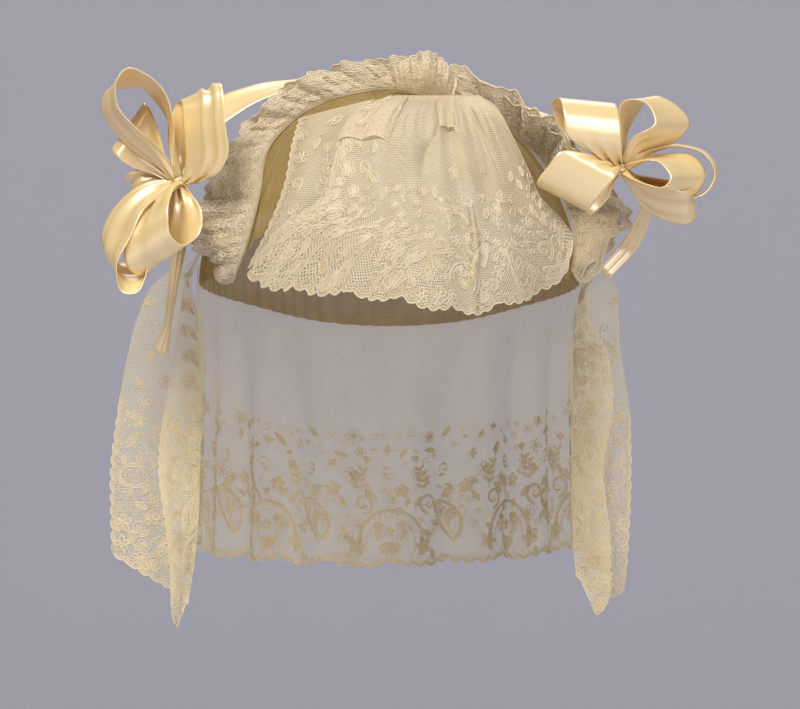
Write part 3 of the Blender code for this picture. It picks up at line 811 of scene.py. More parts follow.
def fillPlaces(cut, places, spacing, fromHem, kinds, seed, tries=5000):
    # small shapes wherever the drawings so far leave room, as close as the spacing
    random = np.random.default_rng(seed)
    taken = np.zeros((len(places) + tries, 3))
    taken[:len(places)] = [(row[1], row[2], motifs[row[0]][1] * row[4]) for row in places]
    count = len(places)
    tryX, tryUp = random.uniform(4, cut["width"] - 4, tries), random.uniform(4, fromHem, tries)
    across = np.linspace(0, 1, 201)
    tryY = np.interp(tryX, *flatPlace(cut, across, np.ones(201))) - tryUp
    added = []
    for x, up, y in zip(tryX, tryUp, tryY):
        near = taken[:count]
        room = 1 if up < fromHem * 0.6 else 1.5
        if (np.hypot(near[:, 0] - x, near[:, 1] - y) > (near[:, 2] + spacing) * room).all():
            motif = kinds[int(random.integers(len(kinds)))]
            size = random.uniform(0.75, 1.05)
            taken[count] = (x, y, motifs[motif][1] * size)
            count += 1
            added.append((motif, x, y, random.uniform(0, 360), size, 1 if random.random() < 0.5 else -1))
    return added


def borderPlaces(cut, pitch, depth, bigShapes):
    # one repeat of the border's design for each pitch along the hem
    places = []
    repeats = int(round(cut["width"] / pitch))
    pitch = cut["width"] / repeats
    scale = pitch / 33
    design = [
        ("blossom", -0.5, 0.2, 20, 1.1), ("scroll", -0.42, 0.62, 30, 0.95), ("blossom", 0.18, 0.78, 5, 1.0),
        ("broadLeaf", -0.2, 0.66, -50, 1.0), ("leaf", 0.36, 0.58, 35, 1.0),
        ("openBlossom", 0.42, 0.95, 5, 1.0), ("tendril", -0.1, 0.98, 15, 0.8),
        ("spray", 0.5, 0.72, -8, 0.9), ("bigRing", 0.3, 0.36, 0, 1.0),
    ]
    for k in range(repeats):
        middle = (k + 0.5) * pitch
        side = 1 if k % 2 else -1
        places.append((bigShapes[k % len(bigShapes)], middle, hemAt(cut, middle) - 9 * scale, 0, scale, side))
        for motif, x, up, turn, size in design:
            x = min(max(middle + x * pitch, 4), cut["width"] - 4)
            places.append((motif, x, hemAt(cut, x) - up * depth, turn * side, size * scale, side))
    return places


# Front fall: a flounce gathered into folds at its top
frontFall = {
    **laceBasics, "width": 160.0, "length": 120.0, "columns": 260, "rows": 80,
    "lobe": (5.33, 1.7), "lobedSides": ("left",),
    "edges": [(0, 22, 138), (0.25, 15, 145), (0.6, 6, 154), (1, 0, 160)],
    "lengths": [(0, 88), (0.15, 100), (0.35, 114), (0.6, 120), (0.85, 108), (1, 96)],
    # down the fall, its left and right edges as x and z, and how far it stands out
    "sides": [
        (0.00, 2, -6.9, 37, -7, 5.0), (0.14, -10, -12, 44, -12, 7.0), (0.32, -19, -22, 51, -25, 8.0),
        (0.52, -23, -38, 57, -38, 7.5), (0.70, -28, -51, 62, -49, 7.0), (0.86, -45, -62, 70, -57, 7.0),
        (1.00, -59, -81, 76, -65, 7.0),
    ],
    "seamY": -43.5, "seamShare": 0.14,
    # across the fall, its hem as x and z
    "hem": [
        (0.00, -59, -81), (0.10, -45, -85.5), (0.26, -21, -87.5), (0.44, 6, -90.5), (0.56, 24, -94),
        (0.65, 36, -94.5), (0.76, 50, -90.5), (0.87, 63, -86), (0.95, 73, -76), (1.00, 76, -65),
    ],
    # each fold's place at the top and at the hem, its width and its height
    "folds": [
        (0.04, 0.06, 0.07, 3.0), (0.22, 0.22, 0.07, 3.4), (0.38, 0.36, 0.06, 3.0), (0.54, 0.50, 0.06, 3.6),
        (0.70, 0.64, 0.06, 3.2), (0.84, 0.80, 0.07, 3.0), (0.97, 0.95, 0.06, 2.4),
    ],
    "scallops": 7, "scallopDepth": 3.2, "gathers": 21, "gatherDepth": 0.45,
    # puffs: down the fall, each one's left and right edge across it, and how far it stands out
    "puffs": [
        [
            (0.0, 0.29, 0.50, 0.6), (0.1, 0.275, 0.53, 2.6), (0.2, 0.268, 0.54, 3.2), (0.34, 0.27, 0.46, 2.6),
            (0.46, 0.28, 0.42, 0.0),
        ],
        [(0.0, 0.80, 0.93, 0.6), (0.1, 0.81, 0.95, 2.2), (0.3, 0.84, 0.95, 1.4), (0.5, 0.86, 0.95, 0.0)],
        [(0.5, 0.635, 0.66, 0.0), (0.62, 0.63, 0.66, 1.8), (0.8, 0.625, 0.655, 2.0), (0.95, 0.62, 0.65, 1.0)],
        [(0.15, 0.60, 0.78, 0.0), (0.3, 0.60, 0.80, 1.6), (0.5, 0.62, 0.78, 0.0)],
    ],
}


def fallSurface(across, down):
    s = frontFall
    leftX, leftZ, rightX, rightZ, lift = through(s["sides"], down).T
    hemX, hemZ = through(s["hem"], across).T
    first, last = np.array(s["hem"][0][1:]), np.array(s["hem"][-1][1:])
    straight = first + (last - first) * across[:, None]
    x = leftX + (rightX - leftX) * across + (hemX - straight[:, 0]) * down
    z = leftZ + (rightZ - leftZ) * across + (hemZ - straight[:, 1]) * down
    z = z - s["scallopDepth"] * scallops(across, s["scallops"]) * eased((down - 0.8) / 0.2)
    for top, hem, width, height in s["folds"]:
        middle = top + (hem - top) * down
        fade = (0.35 + 0.65 * eased(down / 0.25)) * (1 - 0.6 * eased((down - 0.35) / 0.6))
        lift = lift + height * np.exp(-(((across - middle) / width) ** 2)) * fade
    bunched = 1 - eased(down / 0.42)
    lift = lift + wave(across + 0.012 * wave(across, 3.3), s["gathers"]) * s["gatherDepth"] * bunched
    lift = lift + wave(across, 4.2, 0.1) * 1.1 * eased((down - 0.45) / 0.5)
    for puff in s["puffs"]:
        left, right, height = through(puff, np.clip(down, puff[0][0], puff[-1][0])).T
        share = np.clip((across - left) / (right - left), 0, 1)
        lift = lift + np.maximum(height, 0) * (1 - (2 * share - 1) ** 4)
    y = frontOfHollow(x, z, lift, hollow["browShare"])
    return np.stack([x, s["seamY"] + (y - s["seamY"]) * eased(down / s["seamShare"]), z], axis=-1)


def onFall(rows, offsets, arch):
    # a surface over part of the fall: rows give the part's left and right edges, offsets its
    # height over the fall from its left edge to its right edge, arch the rise of its lower edge
    def surface(across, down):
        leftA, leftD, rightA, rightD = through(rows, down).T
        a, d = leftA + (rightA - leftA) * across, leftD + (rightD - leftD) * across
        d = d - arch * down**4 * (np.sin(math.pi * across) + 0.4 * wave(across, 1.5))
        step = 0.004
        alongA = fallSurface(np.minimum(a + step, 1), d) - fallSurface(np.maximum(a - step, 0), d)
        alongD = fallSurface(a, np.minimum(d + step, 1)) - fallSurface(a, np.maximum(d - step, 0))
        normal = unitRows(np.cross(alongD, alongA))
        base = fallSurface(a, d)
        outward = np.sign(((base - hollow["centre"]) * normal).sum(axis=1))
        height = through(offsets, across)[:, 0] * eased(0.3 + down * 4) + wave(across, 1.5, 0.2) * 0.5 * down
        return base + normal * (outward * height)[:, None]
    return surface


fallPlaces = placesOf({
    "medallion": [(38, 99, -5, 1.05), (96, 108, 6, 0.5)],
    "paisley": [(128, 110, 14, 1.15, -1), (107, 100, -20, 0.62)],
    "shell": [(63, 112, 0, 0.95), (148, 102, -10, 0.7), (15, 99, 20, 0.75)],
    "blossom": [
        (55, 93, 0, 0.95), (61, 99, 30, 0.9), (89, 88, 10, 1.05), (84, 114, 0, 0.95), (23, 58, 0, 1),
        (20, 47, 20, 1.05), (17, 67, 50, 1), (14, 77, 10, 1.05), (33, 29, 0, 0.9), (135, 76, 0, 1.05),
        (150, 98, 0, 1), (145, 108, 0, 1), (10, 88, 0, 1),
    ],
    "broadLeaf": [(68, 106, 8, 0.75), (39, 56, -34, 1), (41, 66, 26, 0.9), (110, 72, 30, 0.85)],
    "bigRing": [(77, 104, 0, 1.35), (115, 90, 0, 1), (133, 66, 0, 1)],
    "scroll": [(80, 92, 40, 1), (112, 108, 70, 0.6, -1), (30, 47, 10, 0.8), (144, 88, 20, 0.8)],
    "spray": [(84, 84, -6, 0.9), (25, 86, 10, 0.85, -1), (119, 78, 8, 0.85, -1)],
    "ringlet": [(113, 84, 0, 1.2), (60, 62, 0, 1.2), (55, 45, 0, 1.1), (115, 46, 0, 1.2)],
    "tendril": [(33, 74, -60, 0.95), (101, 66, 40, 0.8, -1)],
    "leaf": [
        (23, 70, 30, 1), (28, 37, -30, 1), (37, 41, 20, 0.9), (64, 78, 20, 0.9), (148, 72, -20, 1),
        (136, 50, 10, 0.9),
    ],
    "openBlossom": [(21, 36, 0, 1), (25, 25, 0, 1), (54, 76, 10, 0.9), (92, 50, 0, 0.9), (126, 58, 0, 0.95)],
})
fallPlaces += fillPlaces(frontFall, fallPlaces, 1.1, 56, smallShapes, 3)
# a column of flowers beside the folded edge
sideFlowers = ("blossom", "openBlossom", "blossom", "daisy") * 3
for k, y in enumerate(np.arange(20, 96, 6.4)):
    x = 7 + 15 * (1 - y / 96) ** 1.2 + (0, 3, 1)[k % 3]
    fallPlaces.append((sideFlowers[k], x, y, 33 * k, 0.95, 1))
finishLace("frontFall", frontFall, fallSurface, fallPlaces, "front_fall")

# The fall's top left corner is turned back over it, and a flat pleat is folded at its middle
turnedCorner = {
    **laceBasics, "width": 26.0, "length": 46.0, "columns": 50, "rows": 60, "lobe": (6.0, 0.0), "plain": True,
    "edges": [(0, 8, 16), (0.3, 3, 22), (1, 0, 26)],
}
cornerSurface = onFall(
    [
        (0.0, 0.077, 0.02, 0.204, 0.02), (0.3, 0.012, 0.10, 0.255, 0.10), (0.6, 0.004, 0.22, 0.268, 0.19),
        (0.85, 0.004, 0.32, 0.262, 0.28), (1.0, 0.006, 0.385, 0.25, 0.335),
    ],
    [(0.0, 0.3), (0.15, 0.9), (0.5, 1.3), (0.85, 1.1), (1.0, 0.6)], 0.024,
)
cornerPlaces = placesOf({
    "blossom": [(7, 34, 0, 0.8)], "openBlossom": [(6, 22, 0, 0.8)], "ringlet": [(12, 30, 0, 1)],
})
finishLace("turnedCorner", turnedCorner, cornerSurface, cornerPlaces, "front_fall")
flatPleat = {
    **laceBasics, "width": 11.0, "length": 38.0, "columns": 24, "rows": 48, "lobe": (6.0, 0.0), "plain": True,
}
pleatSurface = onFall(
    [
        (0.0, 0.545, 0.02, 0.72, 0.02), (0.3, 0.535, 0.07, 0.70, 0.07), (0.7, 0.531, 0.16, 0.68, 0.155),
        (1.0, 0.535, 0.225, 0.66, 0.24),
    ],
    [(0.0, 0.5), (0.1, 1.3), (0.5, 1.6), (0.9, 1.3), (1.0, 0.5)], 0.012,
)
finishLace("flatPleat", flatPleat, pleatSurface, [], "front_fall")

# Under layer of the fall, which shows to the left of the fall's folded edge
underFall = {
    **laceBasics, "width": 44.0, "length": 92.0, "columns": 80, "rows": 60, "lengths": [(0, 92), (1, 72)],
    "edges": [(0, 6, 38), (0.5, 0, 38), (1, 0, 24)], "lobe": (5.2, 1.6), "lobedSides": ("left",),
    "sides": [
        (0.00, -37, -16, -6, -8.5, 3.0), (0.25, -40, -28, -13, -16, 3.2), (0.50, -43, -45, -15, -33, 3.4),
        (0.75, -50, -63, -24, -52, 3.4), (1.00, -58, -79, -48, -72, 3.2),
    ],
    "folds": 2, "foldDepth": 1.1,
}


def underSurface(across, down):
    outerX, outerZ, innerX, innerZ, lift = through(underFall["sides"], down).T
    x = outerX + (innerX - outerX) * across
    z = outerZ + (innerZ - outerZ) * across
    fold = (1 - np.cos(2 * math.pi * underFall["folds"] * across)) / 2
    lift = lift + underFall["foldDepth"] * fold * eased(down * (1 - down) * 4)
    return np.stack([x, frontOfHollow(x, z, lift, 0.0), z], axis=-1)


underPlaces = placesOf({
    "spray": [(24, 56, 6, 1.25), (36, 48, -14, 1, -1)],
    "blossom": [(12, 60, 0, 1)],
    "shell": [(30, 60, 0, 0.9)],
    "scroll": [(8, 46, 20, 0.7), (26, 16, 60, 0.8, -1)],
    "openBlossom": [(9, 32, 0, 1), (8, 18, 30, 1)],
    "leaf": [(16, 30, 30, 1)],
    "ringlet": [(30, 30, 0, 1), (20, 22, 0, 1)],
    "bigRing": [(42, 14, 0, 1)],
})
finishLace("underFall", underFall, underSurface, underPlaces, "under_fall")

# Puff: the gathered heading of the fall
topPuff = {
    **laceBasics, "net": openNet, "width": 50.0, "length": 15.0, "columns": 96, "rows": 14,
    "lobe": (4.6, 1.0),
    # across the puff, where it is sewn as x, and its free edge
    "stations": [
        (0.0, 1, -2, -43, 0), (0.2, 6, 4, -43, 6), (0.45, 13, 14, -43, 11.5), (0.7, 20, 22, -43, 8.5),
        (0.85, 23, 25, -42, 4), (1.0, 26, 28, -40.5, -1),
    ],
    "rootY": -39.5, "rootLift": 2.9, "ruffles": 3.5, "ruffleDepth": 2.0,
}


def puffSurface(across, down):
    s = topPuff
    rootX, x, y, z = through(s["stations"], across).T
    root = np.stack([rootX, s["rootY"] + 0 * x, topOfHollow(rootX, s["rootY"], s["rootLift"])], axis=-1)
    belly = np.sin(math.pi * down) * 2.5
    standing = np.sin(math.pi * down * 0.8)
    ruffle = wave(across, s["ruffles"]) * s["ruffleDepth"] * standing
    push = ruffle + wave(across, 13) * 0.5 * standing - belly
    points = root + (np.stack([x, y, z], axis=-1) - root) * down[:, None]
    points[:, 1] += push
    return points


puffPlaces = placesOf({
    "blossom": [(6 + 9 * k, 11, 20 * k, 0.8) for k in range(7)],
    "leaf": [(2 + 9 * k, 9, 30, 0.7) for k in range(7)],
})
finishLace("topPuff", topPuff, puffSurface, puffPlaces, "top_puff")

# Frill from the left side over the top to the right side
haloFrill = {
    **laceBasics, "width": 330.0, "length": 27.0, "columns": 600, "rows": 24, "lobe": (5.6, 1.8),
    # across the frill, its sewn line as bearing and polar angle on the hollow, and its free edge
    "stations": [
        (0.00, -52, 85, -64, -47, -84), (0.08, -48, 77, -79, -43, -69), (0.18, -48, 63, -76, -45, -48),
        (0.29, -56, 45, -62, -41, -24), (0.40, -42, 29, -40, -36, -2), (0.51, 3, 21.5, -10, -33, 7),
        (0.62, 48, 31, 22, -33, 6), (0.73, 73, 46, 54, -35, -9), (0.83, 83, 59, 80, -34, -30),
        (0.92, 88, 71, 98, -25, -58), (1.00, 72, 84, 78, -37, -84),
    ],
    "ruffles": 15, "ruffleDepth": 3.2, "scallops": 24, "scallopDepth": 2.2,
    "sewnLift": 2.2, "shift": 0.0, "back": 0.0,
}


def frillSurface(across, down, s=haloFrill):
    row = through(s["stations"], across)
    root = onHollow(row[:, 0], row[:, 1], s["sewnLift"])
    outward = row[:, 2:] - root
    normal = unitRows(np.cross(unitRows(slopeAt(s["stations"], across)[:, 2:]), outward))
    ruffle = wave(across, s["ruffles"], s["shift"]) * s["ruffleDepth"] + s["back"]
    ruffle = ruffle * down + wave(across, 61, 0.2) * 0.45 * down * (1 - 0.5 * down)
    edge = s["scallopDepth"] * scallops(across, s["scallops"]) * down**4
    return root + outward * down[:, None] + unitRows(outward) * edge[:, None] + normal * ruffle[:, None]


def frillPlaces(cut):
    # a chain of open flowers along the edge, with leaves and curls on the net above it
    places = []
    count = int(cut["width"] / 6.6)
    step = cut["width"] / count
    inner = (
        ("leaf", 35, 0.85), ("curl", 0, 0.85), ("blossom", 12, 0.85), ("leaf", -35, 0.85),
        ("scroll", 50, 0.6),
    )
    for k in range(count):
        x = (k + 0.5) * step
        motif, turn, size = inner[k % 5]
        places += [
            ("openBlossom", x, cut["length"] - 7.4, 24 * k, 1.05, 1),
            (motif, x + step / 2, cut["length"] - 13.8, turn, size, 1),
            (("blossom", "openBlossom")[k % 2], x, 5.4, 20 * k, 0.85, 1),
        ]
    return places


finishLace("haloFrill", haloFrill, frillSurface, frillPlaces(haloFrill), "halo_frill")
secondFrill = dict(
    haloFrill, width=280.0, length=22.0, ruffleDepth=2.2, scallopDepth=-1.5, sewnLift=3.2,
    shift=0.5, back=-1.6,
)
finishLace(
    "secondFrill", secondFrill, lambda across, down: frillSurface(across, down * 0.9, secondFrill),
    frillPlaces(secondFrill), "halo_frill",
)

# Lappets: each a strip folded once along its length
lappetLeft = {
    **laceBasics, "net": openNet, "width": 60.0, "length": 160.0, "columns": 90, "rows": 150,
    "lobe": (5.4, 1.5), "lobedSides": ("left", "right"), "lobesFrom": 0.48,
    "edges": [(0, 19, 41), (0.06, 14, 46), (0.16, 6, 53), (0.3, 1, 59), (1, 0, 60)],
    "lengths": [(0, 130), (0.25, 139), (0.5, 146), (0.7, 151), (0.88, 160), (1, 154)],
    # down the lappet, x and y of its outer edge, its fold and its inner edge
    "stations": [
        (70, -78.3, 6, -77.9, -4, -77.9, -13), (82, -96, 4, -82, -2, -84, -12),
        (98, -105, 3, -79.5, -2, -87, -11), (114, -109, 2, -78.5, -3, -89, -11),
        (135, -113, 1, -78, -3, -93, -11), (156, -116, 1, -78.5, -3, -96, -11),
        (192, -116, 0, -80, -4, -92, -11), (230, -114, 0, -86, -5, -90, -10),
    ],
    "hem": [(0.0, -197), (0.25, -206), (0.5, -213), (0.7, -218), (0.88, -227), (1.0, -221)],
    "seed": 11, "freeTop": 76, "filled": 74, "upper": {},
}
lappetRight = dict(
    lappetLeft, width=54.0,
    edges=[(0, 17, 37), (0.06, 12, 42), (0.16, 5, 48), (0.3, 1, 53), (1, 0, 54)],
    lengths=[(0, 145), (0.25, 148), (0.5, 137), (0.7, 141), (0.88, 155), (1, 147)],
    stations=[
        (70, 78.3, 6, 77.9, -4, 77.9, -13), (82, 93, 4, 80, -3, 84, -12), (98, 96, 3, 77, -3, 84, -12),
        (114, 97, 2, 76.5, -3, 91, -12), (135, 100, 1, 76.5, -4, 93, -11), (162, 101, 1, 75.5, -4, 89, -11),
        (188, 100, 0, 76, -4, 92, -11), (225, 97, 0, 80, -5, 92, -10),
    ],
    hem=[(0.0, -212), (0.25, -215), (0.5, -204), (0.7, -208), (0.88, -222), (1.0, -214)],
    seed=12, freeTop=20, filled=110,
    upper={
        "medallion": [(0.75, 92, 10, 0.8)],
        "bigRing": [
            (0.6, 106, 0, 1.7), (0.74, 108, 0, 1.6), (0.93, 100, 0, 1.5), (0.94, 86, 0, 1.5),
            (0.78, 122, 0, 1.5),
        ],
        "blossom": [(0.88, 112, 0, 1.2), (0.62, 78, 20, 1.1), (0.66, 120, 40, 1.1)],
        "shell": [(0.55, 88, 0, 0.9)],
        "leaf": [(0.9, 124, 20, 1.1)],
        "scroll": [(0.8, 76, 60, 0.7)],
    },
)


def lappetSurface(settings):
    def surface(across, down):
        top = -settings["stations"][0][0]
        z = top + (through(settings["hem"], across)[:, 0] - top) * down
        edgeX, edgeY, foldX, foldY, flapX, flapY = through(settings["stations"], -z).T
        points = np.zeros((len(z), 3))
        shares = np.array([0.0, 0.42, 0.62, 0.78, 1.0])
        xs = np.stack([edgeX, foldX * 0.7 + edgeX * 0.3, foldX, foldX * 0.7 + flapX * 0.3, flapX], axis=-1)
        ys = np.stack([edgeY, foldY, foldY - 1.5, flapY + 2.0, flapY], axis=-1)
        for i in range(5):
            # each share's weight, by the same curve through all five
            basis = through(np.column_stack([shares, np.eye(5)[i]]), across)[:, 0]
            points[:, 0] += basis * xs[:, i]
            points[:, 1] += basis * ys[:, i]
        folds = wave(across, 2.5, down[0] + 0.3) * 0.8 * eased(down * 3)
        points[:, 1] += folds + wave(down, 2.3) * 0.9 * across
        points[:, 2] = z
        return points
    return surface


# Lappets' flat places, and those of the large shapes as a share across and millimetres over the hem
lappetSprigs = placesOf({
    "openMesh": [(8, 109, 0, 1)],
    "cartouche": [(8.5, 96, 15, 0.95)],
    "sprig": [
        (4.5, 72, 15, 1.1), (9.5, 75, -10, 1.2), (8, 24, 10, 1.2), (13, 47, -30, 1.3), (6, 58, 40, 1.1),
    ],
    "broadLeaf": [(4.5, 84, 30, 0.9)],
    "curl": [(10, 84, 0, 1.2), (12, 33, 0, 1.1), (15, 66, 0, 1.1)],
    "bigRing": [(15, 88, 0, 1), (11.5, 118, 0, 1.25)],
    "blossom": [(4.8, 116, 0, 1.05), (16.5, 114, 0, 0.95)],
    "openBlossom": [(4.6, 125, 0, 0.95), (19, 56, 0, 0.9)],
    "leaf": [(10, 128, 50, 0.9)],
    "shell": [(17, 137, -12, 0.85)],
})
lappetHem = {
    "medallion": [(0.62, 14, 0, 0.85)],
    "paisley": [(0.42, 42, 10, 0.9), (0.82, 36, -10, 0.95)],
    "blossom": [(0.86, 13, 0, 1.1), (0.6, 58, 20, 1.1), (0.4, 70, 0, 1)],
    "scroll": [(0.66, 40, 0, 0.9)],
    "broadLeaf": [(0.5, 62, -30, 1), (0.72, 60, 30, 1)],
    "spray": [(0.8, 72, -12, 0.9)],
    "bigRing": [(0.92, 56, 0, 1.2)],
    "tendril": [(0.56, 74, 0, 0.8)],
    "shell": [(0.9, 24, -20, 0.6)],
}


def lappetPlaces(cut):
    # sprigs far apart above; below them large shapes, a cartouche of open mesh and dense small ones
    width = cut["width"]
    places = list(lappetSprigs)
    for group in (lappetHem, cut["upper"]):
        for motif, rows in group.items():
            for across, up, turn, size in rows:
                x = across * width
                side = 1 if across < 0.6 else -1
                places.append((motif, x, hemAt(cut, x) - up, turn, size * width / 60, side))
    for k, y in enumerate(np.arange(12, cut["freeTop"], 11.0)):
        places += [
            (("sprig", "openBlossom", "curl")[k % 3], 0.5 * width, y, 30 * k, 1.0, 1),
            ("leaf", 0.68 * width, y + 4, 60, 0.85, 1), ("openBlossom", 0.84 * width, y, 0, 0.9, 1),
        ]
    return places + fillPlaces(cut, places, 1.0, cut["filled"], smallShapes, cut["seed"])


for name, cut, node in (
    ("lappetLeft", lappetLeft, "lappet_left"), ("lappetRight", lappetRight, "lappet_right"),
):
    finishLace(name, cut, lappetSurface(cut), lappetPlaces(cut), node)

# Back fall: the curtain round the back
backFall = {
    **laceBasics, "net": openNet, "threadSides": 3, "width": 350.0, "length": 118.0,
    "columns": 420, "rows": 60, "lobe": (6.2, 2.0),
    # across the curtain, its sewn edge and its hem
    "stations": [
        (0.00, -80.1, 14, -75, -83, 34, -190), (0.10, -76.8, 32.3, -79, -81, 56, -194),
        (0.22, -65.5, 58.6, -85, -68, 80, -198), (0.36, -42, 87.5, -92, -42, 100, -201),
        (0.50, 0, 102.2, -98, 0, 112, -203), (0.64, 42, 87.5, -92, 42, 100, -200),
        (0.78, 65.5, 58.6, -85, 68, 80, -197), (0.90, 76.8, 32.3, -79, 80, 56, -193),
        (1.00, 80.1, 14, -75, 82, 34, -189),
    ],
    "waves": 9, "waveDepth": 3.6, "scallops": 12, "scallopDepth": 2.6,
}


def backSurface(across, down):
    s = backFall
    row = through(s["stations"], across)
    ahead = slopeAt(s["stations"], across)
    outward = unitRows(np.stack([ahead[:, 4], -ahead[:, 3], 0 * across], axis=-1))
    gathered = wave(across, 47) * 0.6 * (1 - eased(down / 0.3)) * down * 4
    push = wave(across, s["waves"]) * s["waveDepth"] * eased(down / 0.4) + gathered
    points = row[:, :3] + (row[:, 3:] - row[:, :3]) * down[:, None] + outward * push[:, None]
    points[:, 2] -= s["scallopDepth"] * scallops(across, s["scallops"]) * eased((down - 0.8) / 0.2)
    return points


backPlaces = borderPlaces(backFall, 31, 44, ("paisley", "medallion"))
backPlaces += fillPlaces(backFall, backPlaces, 1.6, 62, smallShapes, 5)
finishLace("backFall", backFall, backSurface, backPlaces, "back_fall")

# Crown: a round caul of close net, drawn in at its rim
crown = {
    "columns": 384, "rows": 44, "lift": 1.6, "gathers": 72, "gatherDepth": 0.9,
    "flatSize": 250.0, "flatArea": 0.046,
    # the rim's height at each bearing from the front
    "rim": [
        (0, -15), (20, -27), (38, -58), (56, -77), (90, -84), (130, -92), (160, -99.5), (180, -101),
        (200, -99.5),
    ],
}


def makeCrown(name, s):
    across, down = gridShares(s["columns"], s["rows"])
    bearing = (across - 0.5) * 360
    rim = through(s["rim"], np.abs(bearing))[:, 0]
    polar = np.degrees(down * np.arccos((rim - hollow["centre"][2]) / hollow["radii"][2]))
    gathered = wave(across + 0.004 * wave(across, 11), s["gathers"], 0.25)
    drawn = gathered * s["gatherDepth"] * eased((down - 0.3) / 0.7)
    points = onHollow(bearing, polar, 0.0)
    points += unitRows(points - hollow["centre"]) * (s["lift"] + drawn)[:, None]
    out = np.radians(polar)[:, None] * 86  # the hollow's mean radius, so that the net lies true to size
    flat = out * np.stack([np.sin(np.radians(bearing)), np.cos(np.radians(bearing))], axis=-1)
    faces = gridFaces(s["columns"], s["rows"])
    piece = meshPiece(name + "Loose", points, faces, crownNetPaintedShade, {"cloth": flat * 0.001})
    weld = piece.modifiers.new("weld", "WELD")
    weld.merge_threshold = 0.00001
    return plainMesh(piece, name)


crownPiece = makeCrown("crownCaul", crown)
joinCap(crownPiece, "crown")
print("crown", triangles(crownPiece), "triangles")

# Ribbon over the crown, whose two ends hang, and the ribbon of the bows
ribbon = {
    "width": 24.0, "thick": 0.3, "columns": 220, "rows": 10, "pleat": 1.6,
    "bandLength": 430.0, "bandArea": 0.0068,
}
# along the band, its middle and the vector across it
band = [
    (0.00, -94, -31, -113, 5, 7, -3), (0.04, -91.5, -32, -102, 2, 7, 1), (0.10, -89, -33, -86, 3, 8, 2),
    (0.16, -86, -36, -66, 5, 7, 2), (0.22, -85.0, -40.5, -44, 4, 6, 0), (0.27, -83, -32, -32, 2, 12, 5),
    (0.33, -74, -20, -16, -1, 16, 13), (0.39, -57, -15, -6.0, 0, 19, 9), (0.46, -38, -12, -1.0, 0, 22, 4.5),
    (0.53, -16, -10, 1.6, 0, 22, 3.3), (0.60, 8, -10, 2.4, 0, 22, 3.3), (0.68, 32, -11, -2.8, 0, 22, 3.3),
    (0.75, 57, -14, -12, -1, 21, 4), (0.82, 83, -28, -24.5, -3, 14, 5), (0.87, 95.0, -50.9, -38, -1, 7, 0),
    (0.92, 106, -26, -51, 4, 7, -3), (0.96, 101, -14, -66, 6, 6, -4), (1.00, 89, -18, -80, 4, 4, -5),
]


def ribbonPoints(table, columns, rows, pleat, creases=()):
    # the ribbon's points in millimetres, pleated lengthways where it is drawn in
    along, side = gridShares(columns, rows)
    section = through(table, along)
    ahead = slopeAt(table, along, 1 / columns)
    width = np.linalg.norm(section[:, 3:], axis=1)
    normal = unitRows(np.cross(ahead[:, :3], section[:, 3:]))
    drawnIn = np.clip(1 - width / ribbon["width"], 0, 1)
    fold = wave(side, 2.5, 0.1) * pleat * drawnIn
    for where, depth, spread in creases:
        bent = np.exp(-(((side - where - 0.05 * wave(along, 1)) / spread) ** 2))
        fold = fold + depth * bent * eased(along * (1 - along) * 8)
    points = section[:, :3] + section[:, 3:] * (side - 0.5)[:, None] + normal * fold[:, None]
    length = np.linalg.norm(np.diff(through(table, np.linspace(0, 1, 200))[:, :3], axis=0), axis=1).sum()
    return points, np.stack([along * length, side * ribbon["width"]], axis=-1)


def ribbonPiece(name, points, faces, flat, node):
    # the flat ribbon as a piece with its thickness
    piece = meshPiece(name, points, faces, silkSatin, {"cloth": flat * 0.001})
    wall = piece.modifiers.new("wall", "SOLIDIFY")
    wall.thickness = ribbon["thick"] * 0.001
    wall.offset = 0.0
    piece = plainMesh(piece, name)
    piece.name = name
    joinCap(piece, node)
    return piece


bandPoints, bandFlat = ribbonPoints(band, ribbon["columns"], ribbon["rows"], ribbon["pleat"])
bandFaces = gridFaces(ribbon["columns"], ribbon["rows"])
bandPiece = ribbonPiece("ribbonBand", bandPoints, bandFaces, bandFlat, "ribbon_band")
print("ribbon band", triangles(bandPiece), "triangles")

